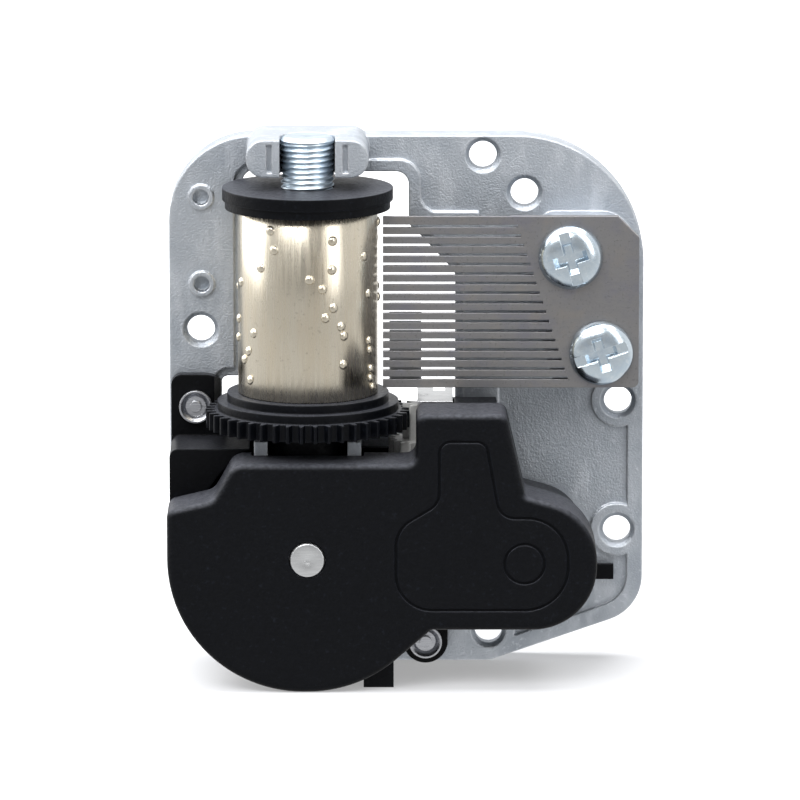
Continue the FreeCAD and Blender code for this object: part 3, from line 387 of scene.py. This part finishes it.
def plated_zinc(name, roughness):
    finish = Finish(name, (0.60, 0.68, 0.74), 1.0, roughness)
    worn_and_lit = finish.edges(0.08 * MM, 0.4)
    haze = finish.grain(700, 4.0, 0.4, 0.7)
    bloom = finish.grain(2600, 3.0, 0.5, 0.7)
    finish.tint(haze, (0.50, 0.60, 0.70), 0.7).tint(bloom, (0.70, 0.76, 0.80), 0.5)
    # The edge tint is partly wear and partly a painted highlight along the edges
    finish.tint(worn_and_lit, (0.84, 0.88, 0.92), 0.6)
    finish.gloss(haze, roughness + 0.12, 0.6).gloss(worn_and_lit, roughness - 0.05, 0.6)
    return finish.relief(haze, 0.01 * MM, 0.3).material


def nickel():
    finish = Finish("nickel_sleeve", (0.64, 0.59, 0.49), 1.0, 0.22)
    worn_and_lit = finish.edges(0.05 * MM, 0.3)
    drawn = finish.grain((3600, 3600, 220), 4.0, 0.35, 0.65)
    warm = finish.grain((520, 520, 130), 4.0, 0.42, 0.7)
    specks = finish.grain(2600, 2.0, 0.62, 0.75)
    finish.tint(drawn, (0.59, 0.535, 0.43), 0.5).tint(warm, (0.62, 0.54, 0.41), 0.5)
    # The edge tint is partly wear and partly a painted highlight along the edges
    finish.tint(specks, (0.34, 0.31, 0.25), 0.45).tint(worn_and_lit, (0.80, 0.77, 0.70), 0.5)
    finish.gloss(drawn, 0.36, 0.6)
    return finish.relief(drawn, 0.004 * MM, 0.4).material


def black_moulding(name, tone, roughness, texture, depth, top_lit):
    """Moulded plastic with a spark-eroded skin, slightly rubbed edges that also carry a painted edge
    highlight, and painted top light on faces that look up.
    """
    dark = (tone, tone * 1.2, tone * 1.75)
    finish = Finish(name, dark, 0.0, roughness)
    rubbed_and_lit = finish.edges(0.2 * MM, 0.6)
    skin = finish.grain(texture, 3.0, 0.3, 0.7)
    glints = finish.grain(texture * 0.6, 2.0, 0.62, 0.74)
    lint = finish.grain(1500, 2.0, 0.66, 0.78)
    finish.tint(skin, tuple(c * 1.7 for c in dark), 0.5).tint(glints, tuple(c * 6 for c in dark), 0.35)
    # Edges are lightened, partly as rubbed plastic and partly as a painted edge highlight
    finish.tint(rubbed_and_lit, tuple(c * 7 for c in dark), 0.55).tint(lint, tuple(c * 9 for c in dark), 0.3)
    # Painted top light: faces that look up are lightened towards this grey
    finish.tint(finish.top_light(top_light_scale), top_light_grey, top_lit)
    finish.gloss(skin, roughness + 0.15, 0.7)
    finish.shader.inputs["Specular IOR Level"].default_value = 0.10
    return finish.relief(skin, depth, 0.8).material


def pale_moulding(name, tone):
    finish = Finish(name, (tone, tone, tone * 0.98), 0.0, 0.42)
    finish.edges(0.08 * MM, 0.5)
    skin = finish.grain(3000, 3.0, 0.3, 0.7)
    finish.tint(skin, (tone * 0.85, tone * 0.85, tone * 0.83), 0.6)
    return finish.relief(skin, 0.01 * MM, 0.4).material


def sheet_steel(name, colour, roughness):
    finish = Finish(name, colour, 1.0, roughness)
    worn_and_lit = finish.edges(0.08 * MM, 0.4)
    rolled = finish.grain((400, 6000, 6000), 4.0, 0.35, 0.65)
    darker = tuple(c * 0.8 for c in colour)
    # The edge tint is partly wear and partly a painted highlight along the edges
    finish.tint(rolled, darker, 0.6).tint(worn_and_lit, (0.8, 0.8, 0.8), 0.6).gloss(rolled, roughness + 0.15, 0.6)
    return finish.relief(rolled, 0.005 * MM, 0.4).material


def lead():
    finish = Finish("bare_lead", (0.22, 0.225, 0.24), 1.0, 0.6)
    finish.edges(0.08 * MM, 0.5)
    bloom = finish.grain(900, 4.0, 0.35, 0.65)
    finish.tint(bloom, (0.34, 0.345, 0.36), 0.7).gloss(bloom, 0.75, 0.6)
    return finish.relief(bloom, 0.02 * MM, 0.4).material


# Detailed pieces

def mesh_piece(name, bm, material, sharp=35.0):
    """A finished mesh object with smooth faces and sharp edges above an angle."""
    bmesh.ops.remove_doubles(bm, verts=bm.verts, dist=1e-7)
    bmesh.ops.recalc_face_normals(bm, faces=bm.faces)
    for edge in bm.edges:
        edge.smooth = len(edge.link_faces) == 2 and edge.calc_face_angle() < math.radians(sharp)
    for face in bm.faces:
        face.smooth = True
    mesh = bpy.data.meshes.new(name)
    bm.to_mesh(mesh)
    bm.free()
    piece = bpy.data.objects.new(name, mesh)
    bpy.context.scene.collection.objects.link(piece)
    mesh.materials.append(material)
    return piece


def turned(bm, profile, segments=64):
    """Adds a solid of revolution about Z from (radius, height) points, closed on the axis at both ends."""
    rings = []
    for radius, height in profile:
        if radius <= 0:
            rings.append([bm.verts.new((0, 0, height))])
            continue
        ring = []
        for i in range(segments):
            angle = 2 * math.pi * i / segments
            ring.append(bm.verts.new((radius * math.cos(angle), radius * math.sin(angle), height)))
        rings.append(ring)
    for lower, upper in zip(rings, rings[1:]):
        for i in range(segments):
            j = (i + 1) % segments
            below = [lower[i % len(lower)], lower[j % len(lower)]]
            above = [upper[j % len(upper)], upper[i % len(upper)]]
            corners = list(dict.fromkeys(below + above))
            if len(corners) > 2:
                bm.faces.new(corners)


def thread_tree():
    """A rod about Z with a helical groove that fades out at both ends."""
    tree, given, result = geometry_tree("thread", [
        ("Radius", NUMBER), ("Depth", NUMBER), ("Pitch", NUMBER), ("Length", NUMBER), ("Run Out", NUMBER),
        ("Rows", WHOLE), ("Material", COATING),
    ])
    rod = add_node(tree, "GeometryNodeMeshCylinder", {"Vertices": 48}, fill_type="NGON")
    place = add_node(tree, "GeometryNodeInputPosition")
    parts = add_node(tree, "ShaderNodeSeparateXYZ")
    flat = add_node(tree, "ShaderNodeCombineXYZ")
    outward = add_node(tree, "ShaderNodeVectorMath", operation="NORMALIZE")
    shift = add_node(tree, "ShaderNodeVectorMath", operation="SCALE")
    moved = add_node(tree, "GeometryNodeSetPosition")
    join(
        tree,
        (given.outputs["Radius"], rod.inputs["Radius"]),
        (given.outputs["Length"], rod.inputs["Depth"]),
        (given.outputs["Rows"], rod.inputs["Side Segments"]),
        (place.outputs[0], parts.inputs[0]),
        (parts.outputs["X"], flat.inputs["X"]),
        (parts.outputs["Y"], flat.inputs["Y"]),
        (flat.outputs[0], outward.inputs[0]),
        (outward.outputs["Vector"], shift.inputs[0]),
    )
    turn = calc(tree, "DIVIDE", calc(tree, "ARCTAN2", parts.outputs["Y"], parts.outputs["X"]), 2 * math.pi)
    rise = calc(tree, "DIVIDE", parts.outputs["Z"], given.outputs["Pitch"])
    phase = calc(tree, "FRACT", calc(tree, "SUBTRACT", rise, turn))
    crest = calc(tree, "ABSOLUTE", calc(tree, "SUBTRACT", calc(tree, "MULTIPLY", phase, 2.0), 1.0))
    groove = calc(tree, "SUBTRACT", 1.0, crest)
    half = calc(tree, "MULTIPLY", given.outputs["Length"], 0.5)
    to_end = calc(tree, "SUBTRACT", half, calc(tree, "ABSOLUTE", parts.outputs["Z"]))
    fade = calc(tree, "MINIMUM", calc(tree, "DIVIDE", to_end, given.outputs["Run Out"]), 1.0)
    cut = calc(tree, "MULTIPLY", calc(tree, "MULTIPLY", groove, fade), given.outputs["Depth"])
    join(
        tree,
        (calc(tree, "MULTIPLY", cut, -1.0), shift.inputs["Scale"]),
        (rod.outputs["Mesh"], moved.inputs["Geometry"]),
        (shift.outputs["Vector"], moved.inputs["Offset"]),
    )
    return close_tree(tree, moved.outputs["Geometry"], given, result)


def add_thread(bm, radius, depth, pitch, bottom, top, run_out, material):
    """Adds a threaded length between two heights, on the axis."""
    steps_per_turn = 8
    length = top - bottom
    mesh = grow(THREAD, {
        "Radius": radius, "Depth": depth, "Pitch": pitch, "Length": length, "Run Out": run_out,
        "Rows": int(length / pitch * steps_per_turn), "Material": material,
    })
    mesh.transform(Matrix.Translation((0, 0, (bottom + top) / 2)))
    bm.from_mesh(mesh)


def pin_tree():
    """Low domes round a tube about Z, a few in each row, scattered as a tune scatters them."""
    tree, given, result = geometry_tree("stamped_pins", [
        ("Rows", WHOLE), ("Per Row", WHOLE), ("Start", NUMBER), ("Pitch", NUMBER), ("Radius", NUMBER),
        ("Pin Size", ARROW), ("Seed", WHOLE), ("Material", COATING),
    ])
    count = calc(tree, "MULTIPLY", given.outputs["Rows"], given.outputs["Per Row"])
    index = add_node(tree, "GeometryNodeInputIndex").outputs[0]
    per_row = given.outputs["Per Row"]
    row = calc(tree, "FLOOR", calc(tree, "DIVIDE", index, per_row))
    column = calc(tree, "MODULO", index, per_row)
    stray = add_node(tree, "FunctionNodeRandomValue", data_type="FLOAT")
    share = calc(tree, "ADD", column, stray.outputs["Value"])
    angle = calc(tree, "DIVIDE", calc(tree, "MULTIPLY", share, 2 * math.pi), per_row)
    height = calc(tree, "MULTIPLY", calc(tree, "ADD", row, 0.5), given.outputs["Pitch"])
    points = add_node(tree, "GeometryNodeMeshLine")
    way = add_node(tree, "ShaderNodeCombineXYZ")
    spot = add_node(tree, "ShaderNodeCombineXYZ")
    placed = add_node(tree, "GeometryNodeSetPosition")
    dome = add_node(tree, "GeometryNodeMeshUVSphere", {"Segments": 14, "Rings": 8, "Radius": 1.0})
    pressed = add_node(tree, "GeometryNodeTransform")
    aim = add_node(tree, "FunctionNodeAlignRotationToVector", axis="Z")
    copies = add_node(tree, "GeometryNodeInstanceOnPoints")
    cosine = calc(tree, "COSINE", angle)
    sine = calc(tree, "SINE", angle)
    join(
        tree,
        (given.outputs["Seed"], stray.inputs["Seed"]),
        (count, points.inputs["Count"]),
        (cosine, way.inputs["X"]),
        (sine, way.inputs["Y"]),
        (calc(tree, "MULTIPLY", cosine, given.outputs["Radius"]), spot.inputs["X"]),
        (calc(tree, "MULTIPLY", sine, given.outputs["Radius"]), spot.inputs["Y"]),
        (calc(tree, "ADD", height, given.outputs["Start"]), spot.inputs["Z"]),
        (points.outputs["Mesh"], placed.inputs["Geometry"]),
        (spot.outputs[0], placed.inputs["Position"]),
        (dome.outputs["Mesh"], pressed.inputs["Geometry"]),
        (given.outputs["Pin Size"], pressed.inputs["Scale"]),
        (way.outputs[0], aim.inputs["Vector"]),
        (placed.outputs["Geometry"], copies.inputs["Points"]),
        (pressed.outputs["Geometry"], copies.inputs["Instance"]),
        (aim.outputs["Rotation"], copies.inputs["Rotation"]),
    )
    return close_tree(tree, copies.outputs["Instances"], given, result)


def screw_tree():
    """Two screws with a cross recess and a driver slot, each turned its own way and facing the viewer."""
    tree, given, result = geometry_tree("driven_screws", [
        ("Blank", SHAPE), ("Long Arm", SHAPE), ("Short Arm", SHAPE), ("Slot", SHAPE),
        ("First", ARROW), ("Second", ARROW), ("First Turn", NUMBER), ("Second Turn", NUMBER),
        ("Material", COATING),
    ])
    shapes = {}
    for label in ("Blank", "Long Arm", "Short Arm", "Slot"):
        shapes[label] = add_node(tree, "GeometryNodeObjectInfo")
        tree.links.new(given.outputs[label], shapes[label].inputs["Object"])
    recessed = add_node(tree, "GeometryNodeMeshBoolean", operation="DIFFERENCE", solver="EXACT")
    places = add_node(tree, "GeometryNodeMeshLine", {"Count": 2}, mode="END_POINTS")
    facing = add_node(tree, "GeometryNodeInstanceOnPoints", {"Rotation": (math.pi / 2, 0, 0)})
    index = add_node(tree, "GeometryNodeInputIndex")
    turn = add_node(tree, "ShaderNodeMix", data_type="FLOAT")
    spin = add_node(tree, "ShaderNodeCombineXYZ")
    driven = add_node(tree, "GeometryNodeRotateInstances", {"Local Space": True})
    join(
        tree,
        (shapes["Blank"].outputs["Geometry"], recessed.inputs["Mesh 1"]),
        (shapes["Long Arm"].outputs["Geometry"], recessed.inputs["Mesh 2"]),
        (shapes["Short Arm"].outputs["Geometry"], recessed.inputs["Mesh 2"]),
        (shapes["Slot"].outputs["Geometry"], recessed.inputs["Mesh 2"]),
        (given.outputs["First"], places.inputs["Start Location"]),
        (given.outputs["Second"], places.inputs["Offset"]),
        (places.outputs["Mesh"], facing.inputs["Points"]),
        (recessed.outputs["Mesh"], facing.inputs["Instance"]),
        (index.outputs[0], turn.inputs["Factor"]),
        (given.outputs["First Turn"], turn.inputs["A"]),
        (given.outputs["Second Turn"], turn.inputs["B"]),
        (turn.outputs["Result"], spin.inputs["Z"]),
        (facing.outputs["Instances"], driven.inputs["Instances"]),
        (spin.outputs[0], driven.inputs["Rotation"]),
    )
    return close_tree(tree, driven.outputs["Instances"], given, result)


THREAD = thread_tree()
PINS = pin_tree()
SCREWS = screw_tree()


def output_shaft(material):
    """The spindle with its fine thread, a chamfered end and a centre mark."""
    bm = bmesh.new()
    seat = cap_high.z - thread_seat_drop
    shoulder = shaft_high.z - shaft_chamfer
    add_thread(bm, shaft_radius, thread_depth, thread_pitch, seat, shoulder, thread_run_out, material)
    turned(bm, [
        (0, shoulder), (shaft_radius - 0.02 * MM, shoulder), (shaft_radius - shaft_chamfer, shaft_high.z),
        (0.6 * MM, shaft_high.z), (0, shaft_high.z - 0.3 * MM),
    ])
    joint = seat + 0.2 * MM
    turned(bm, [(0, shaft_low.z), (spindle_radius, shaft_low.z), (spindle_radius, joint), (0, joint)], 32)
    bm.transform(Matrix.Translation((cylinder_x, cylinder_y, 0)))
    return mesh_piece("output_shaft_threaded", bm, material)


def cylinder_sleeve(material):
    """The drawn tube with its ends turned in a little, and the tune stamped on it."""
    bm = bmesh.new()
    low, high = sleeve_low.z, sleeve_high.z
    inner = sleeve_radius - sleeve_wall
    rim = sleeve_radius - sleeve_lip
    turned(bm, [
        (inner, low), (rim, low), (sleeve_radius, low + sleeve_lip), (sleeve_radius, high - sleeve_lip),
        (rim, high), (inner, high), (inner, low),
    ], 128)
    bm.from_mesh(grow(PINS, {
        "Rows": pin_rows, "Per Row": pins_per_row, "Start": comb_low.z,
        "Pitch": (comb_high.z - comb_low.z) / pin_rows, "Radius": sleeve_radius,
        "Pin Size": (pin_radius, pin_radius, pin_height), "Seed": tune_seed, "Material": material,
    }))
    bm.transform(Matrix.Translation((cylinder_x, cylinder_y, 0)))
    return mesh_piece("cylinder_sleeve_stamped", bm, material, 50.0)


def winding_arbor(material):
    """The arbor, with a turned front end that shows in the cover and a coarse thread behind the bedplate."""
    bm = bmesh.new()
    length = arbor_high.y - arbor_low.y
    add_thread(bm, stem_radius, stem_depth, stem_pitch, stem_lead_in, stem_length, stem_run_out, material)
    neck = stem_radius - 0.1 * MM
    turned(bm, [(0, 0), (neck - stem_lead_in, 0), (neck, stem_lead_in), (0, stem_lead_in)])
    seat = arbor_seat_radius
    tip = arbor_tip_radius
    seat_end = length - arbor_seat_setback
    turned(bm, [
        (0, stem_length), (seat, stem_length), (seat, seat_end), (tip, seat_end),
        (tip, length - 0.25 * MM), (tip - 0.12 * MM, length - 0.06 * MM), (tip - 0.35 * MM, length),
        (0.45 * MM, length - 0.03 * MM), (0.25 * MM, length - 0.12 * MM), (0, length - 0.16 * MM),
    ])
    core_low = length - arbor_core_start
    core_high = length - arbor_core_end
    core = arbor_core_radius
    turned(bm, [(0, core_low), (core, core_low), (core, core_high), (0, core_high)])
    facing = Matrix.Rotation(math.radians(90), 4, "X")
    bm.transform(Matrix.Translation((winding_x, arbor_high.y, winding_z)) @ facing)
    return mesh_piece("winding_arbor_turned", bm, material)


def loose_shape(name, bm):
    """A shape that only feeds a geometry tree and is taken away after it."""
    mesh = bpy.data.meshes.new(name)
    bm.to_mesh(mesh)
    bm.free()
    shape = bpy.data.objects.new(name, mesh)
    bpy.context.scene.collection.objects.link(shape)
    return shape


def screw_blank():
    """One pan-head screw about Z with its head's top at the origin."""
    bm = bmesh.new()
    rim = screw_head_radius
    under = -screw_head_height
    end = under - screw_shank_length
    turned(bm, [
        (0, 0), (1.2 * MM, -0.03 * MM), (2.0 * MM, -0.16 * MM), (2.55 * MM, -0.42 * MM),
        (2.85 * MM, -0.75 * MM), (rim, -1.1 * MM), (rim, under + 0.1 * MM), (rim - 0.1 * MM, under),
        (screw_shank_radius, under), (screw_shank_radius, end), (0, end),
    ], 72)
    bmesh.ops.recalc_face_normals(bm, faces=bm.faces)
    return loose_shape("screw_blank", bm)


def cutter_bar(name, length, width, depth, taper):
    """A bar across the screw's head, narrower towards its bottom."""
    bm = bmesh.new()
    bar = bmesh.ops.create_cube(bm, size=1)["verts"]
    bmesh.ops.transform(bm, verts=bar, matrix=Matrix.Diagonal((length, width, 2 * depth, 1)))
    for corner in bar:
        if corner.co.z < 0:
            corner.co.x *= taper
            corner.co.y *= taper
    return loose_shape(name, bm)


def comb_screws(material):
    """Both comb screws, standing on the comb."""
    top = comb_low.y - screw_head_height
    first = (screws_low.x + screw_head_radius, top, screws_high.z - screw_head_radius)
    second = (screws_high.x - screw_head_radius, top, screws_low.z + screw_head_radius)
    blank = screw_blank()
    slot = cutter_bar("slot_bar", slot_length, slot_width, slot_depth, 1.0)
    long_arm = cutter_bar("cross_bar", cross_length, cross_width, cross_depth, cross_taper)
    short_arm = cutter_bar("cross_bar", cross_width, cross_length, cross_depth, cross_taper)
    bm = bmesh.new()
    bm.from_mesh(grow(SCREWS, {
        "Blank": blank, "Long Arm": long_arm, "Short Arm": short_arm, "Slot": slot,
        "First": first, "Second": second, "First Turn": first_screw_turn, "Second Turn": second_screw_turn,
        "Material": material,
    }))
    for shape in (blank, slot, long_arm, short_arm):
        bpy.data.objects.remove(shape)
    return mesh_piece("comb_screws_pan", bm, material, 30.0)


# Everything on the movement gets its finish

def dress():
    zinc = cast_zinc()
    plated = plated_zinc("plated_screw", 0.2)
    threaded = plated_zinc("plated_thread", 0.34)
    bright = sheet_steel("turned_steel", (0.66, 0.67, 0.68), 0.26)
    spring = sheet_steel("spring_steel", (0.42, 0.43, 0.45), 0.32)
    rivet = sheet_steel("rivet_metal", (0.46, 0.47, 0.50), 0.26)
    # The last setting of each black moulding is how strongly painted top light lightens its upward faces
    cover = black_moulding("cover_black", 0.0018, 0.42, texture=4200, depth=0.03 * MM, top_lit=0.55)
    base = black_moulding("base_black", 0.0010, 0.38, texture=2600, depth=0.01 * MM, top_lit=0.15)
    gear = black_moulding("gear_black", 0.0016, 0.30, texture=3000, depth=0.012 * MM, top_lit=0.4)
    pale = pale_moulding("grey_moulding", 0.5)
    finishes = {
        "bedplate": zinc,
        "comb": comb_steel(),
        "tuning_weights": lead(),
        "dampers": pale_moulding("damper_film", 0.16),
        "housing_cover": cover,
        "housing_base": base,
        "housing_rivets": rivet,
        "governor_bracket": bright,
        "clutch_spring": spring,
        "cylinder_gear": gear,
        "cylinder_cap": gear,
        "spring_barrel": pale,
        "barrel_lid": pale,
        "mainspring": spring,
        "first_wheel": pale,
        "first_arbor": bright,
        "second_wheel": pale,
        "second_arbor": bright,
        "worm_shaft": bright,
        "fan": gear,
    }
    for name, material in finishes.items():
        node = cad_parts[name]
        node.data.materials.clear()
        node.data.materials.append(material)
    for make, material, node, body in [
        (output_shaft, threaded, "output_shaft", "cylinder"),
        (cylinder_sleeve, nickel(), "cylinder_sleeve", "cylinder"),
        (winding_arbor, bright, "winding_arbor", "winding"),
        (comb_screws, plated, "comb_screws", "movement"),
    ]:
        piece = make(material)
        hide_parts(node)
        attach(piece, body)


# Stage, light and camera

def stage_material():
    """White paper with a soft shadow near the object, and a little dimmer in reflections at the front."""
    material = bpy.data.materials.new("paper")
    material.use_nodes = True
    tree = material.node_tree
    tree.nodes.clear()
    paper = add_node(tree, "ShaderNodeBsdfDiffuse", {"Color": (0.46, 0.465, 0.48, 1)})
    place = add_node(tree, "ShaderNodeTexCoord")
    reach = add_node(tree, "ShaderNodeVectorMath", operation="LENGTH")
    ends = {"From Min": 0.02, "From Max": 0.20, "To Min": 0.34, "To Max": 1.0}
    fade = add_node(tree, "ShaderNodeMapRange", ends, interpolation_type="SMOOTHSTEP")
    glow = add_node(tree, "ShaderNodeEmission", {"Color": (1, 1, 1, 1)})
    path = add_node(tree, "ShaderNodeLightPath")
    mirror_glow = add_node(tree, "ShaderNodeEmission", {"Color": (1, 1, 1, 1)})
    levels = {"From Min": -0.09, "From Max": 0.05, "To Min": 0.68, "To Max": 1.0}
    mirror_level = add_node(tree, "ShaderNodeMapRange", levels)
    across = add_node(tree, "ShaderNodeSeparateXYZ")
    both = add_node(tree, "ShaderNodeAddShader")
    choose = add_node(tree, "ShaderNodeMixShader")
    choose_mirror = add_node(tree, "ShaderNodeMixShader")
    out = add_node(tree, "ShaderNodeOutputMaterial")
    mirrored = calc(tree, "MAXIMUM", path.outputs["Is Glossy Ray"], path.outputs["Is Transmission Ray"])
    join(
        tree,
        (place.outputs["Object"], reach.inputs[0]),
        (reach.outputs["Value"], fade.inputs["Value"]),
        (fade.outputs["Result"], glow.inputs["Strength"]),
        (paper.outputs[0], both.inputs[0]),
        (glow.outputs[0], both.inputs[1]),
        (place.outputs["Object"], across.inputs[0]),
        (across.outputs["Y"], mirror_level.inputs["Value"]),
        (mirror_level.outputs["Result"], mirror_glow.inputs["Strength"]),
        (path.outputs["Is Camera Ray"], choose.inputs[0]),
        (paper.outputs[0], choose.inputs[1]),
        (both.outputs[0], choose.inputs[2]),
        (mirrored, choose_mirror.inputs[0]),
        (choose.outputs[0], choose_mirror.inputs[1]),
        (mirror_glow.outputs[0], choose_mirror.inputs[2]),
        (choose_mirror.outputs[0], out.inputs["Surface"]),
    )
    return material


def stage():
    reach = 3.0
    bm = bmesh.new()
    outline = [(-reach, -reach), (reach, -reach), (reach, reach), (-reach, reach)]
    bm.faces.new([bm.verts.new((x, y, 0)) for x, y in outline])
    mesh = bpy.data.meshes.new("floor")
    bm.to_mesh(mesh)
    bm.free()
    floor = bpy.data.objects.new("floor", mesh)
    bpy.context.scene.collection.objects.link(floor)
    mesh.materials.append(stage_material())


def lamp(name, place, target, width, height, power):
    light = bpy.data.lights.new(name, "AREA")
    light.shape = "RECTANGLE"
    light.size = width
    light.size_y = height
    light.energy = power
    holder = bpy.data.objects.new(name, light)
    holder.location = place
    holder.rotation_euler = (Vector(target) - Vector(place)).to_track_quat("-Z", "Y").to_euler()
    bpy.context.scene.collection.objects.link(holder)


def studio_light():
    """Soft boxes above, at both sides and in front, in a room that is dimmer behind the camera."""
    middle = (0, 0, 0.025)
    lamp("top_box", (0.0, 0.04, 0.46), middle, width=0.55, height=0.40, power=3.8)
    lamp("left_box", (-0.46, 0.12, 0.30), middle, width=0.60, height=0.60, power=3.0)
    lamp("right_box", (0.34, -0.36, 0.30), middle, width=0.20, height=0.60, power=1.1)
    lamp("front_fill", (-0.26, -0.55, 0.62), middle, width=0.60, height=0.40, power=6.2)
    world = bpy.data.worlds.new("studio")
    bpy.context.scene.world = world
    world.use_nodes = True
    tree = world.node_tree
    tree.nodes.clear()
    place = add_node(tree, "ShaderNodeTexCoord")
    parts = add_node(tree, "ShaderNodeSeparateXYZ")
    ends = {"From Min": -0.9, "From Max": -0.1, "To Min": 0.40, "To Max": 1.0}
    room = add_node(tree, "ShaderNodeMapRange", ends)
    path = add_node(tree, "ShaderNodeLightPath")
    level = add_node(tree, "ShaderNodeMix", data_type="FLOAT")
    level.inputs["A"].default_value = 0.30
    sky = add_node(tree, "ShaderNodeBackground", {"Color": (1, 1, 1, 1)})
    out = add_node(tree, "ShaderNodeOutputWorld")
    mirrored = calc(tree, "MAXIMUM", path.outputs["Is Glossy Ray"], path.outputs["Is Transmission Ray"])
    seen = calc(tree, "MAXIMUM", path.outputs["Is Camera Ray"], level.outputs["Result"])
    join(
        tree,
        (place.outputs["Generated"], parts.inputs[0]),
        (parts.outputs["Y"], room.inputs["Value"]),
        (mirrored, level.inputs["Factor"]),
        (room.outputs["Result"], level.inputs["B"]),
        (seen, sky.inputs["Strength"]),
        (sky.outputs[0], out.inputs["Surface"]),
    )


def camera():
    """A long lens a little above the movement, at the photograph's angle."""
    distance = 0.7
    tilt = math.radians(10.8)
    sensor = 36
    picture_pixels = 800
    focal_pixels = 7490
    shift_pixels = 10.5
    target = Vector((-0.61 * MM, face_y - 5 * MM, 25 * MM))
    lens = bpy.data.cameras.new("camera")
    lens.sensor_width = sensor
    lens.lens = sensor * focal_pixels / picture_pixels
    lens.shift_y = shift_pixels / picture_pixels
    lens.clip_start = 0.01
    holder = bpy.data.objects.new("camera", lens)
    holder.location = target + Vector((0, -math.cos(tilt), math.sin(tilt))) * distance
    holder.rotation_euler = (math.pi / 2 - tilt, 0, 0)
    bpy.context.scene.collection.objects.link(holder)
    bpy.context.scene.camera = holder


dress()
stage()
studio_light()
camera()
bpy.context.scene.view_settings.view_transform = "Standard"
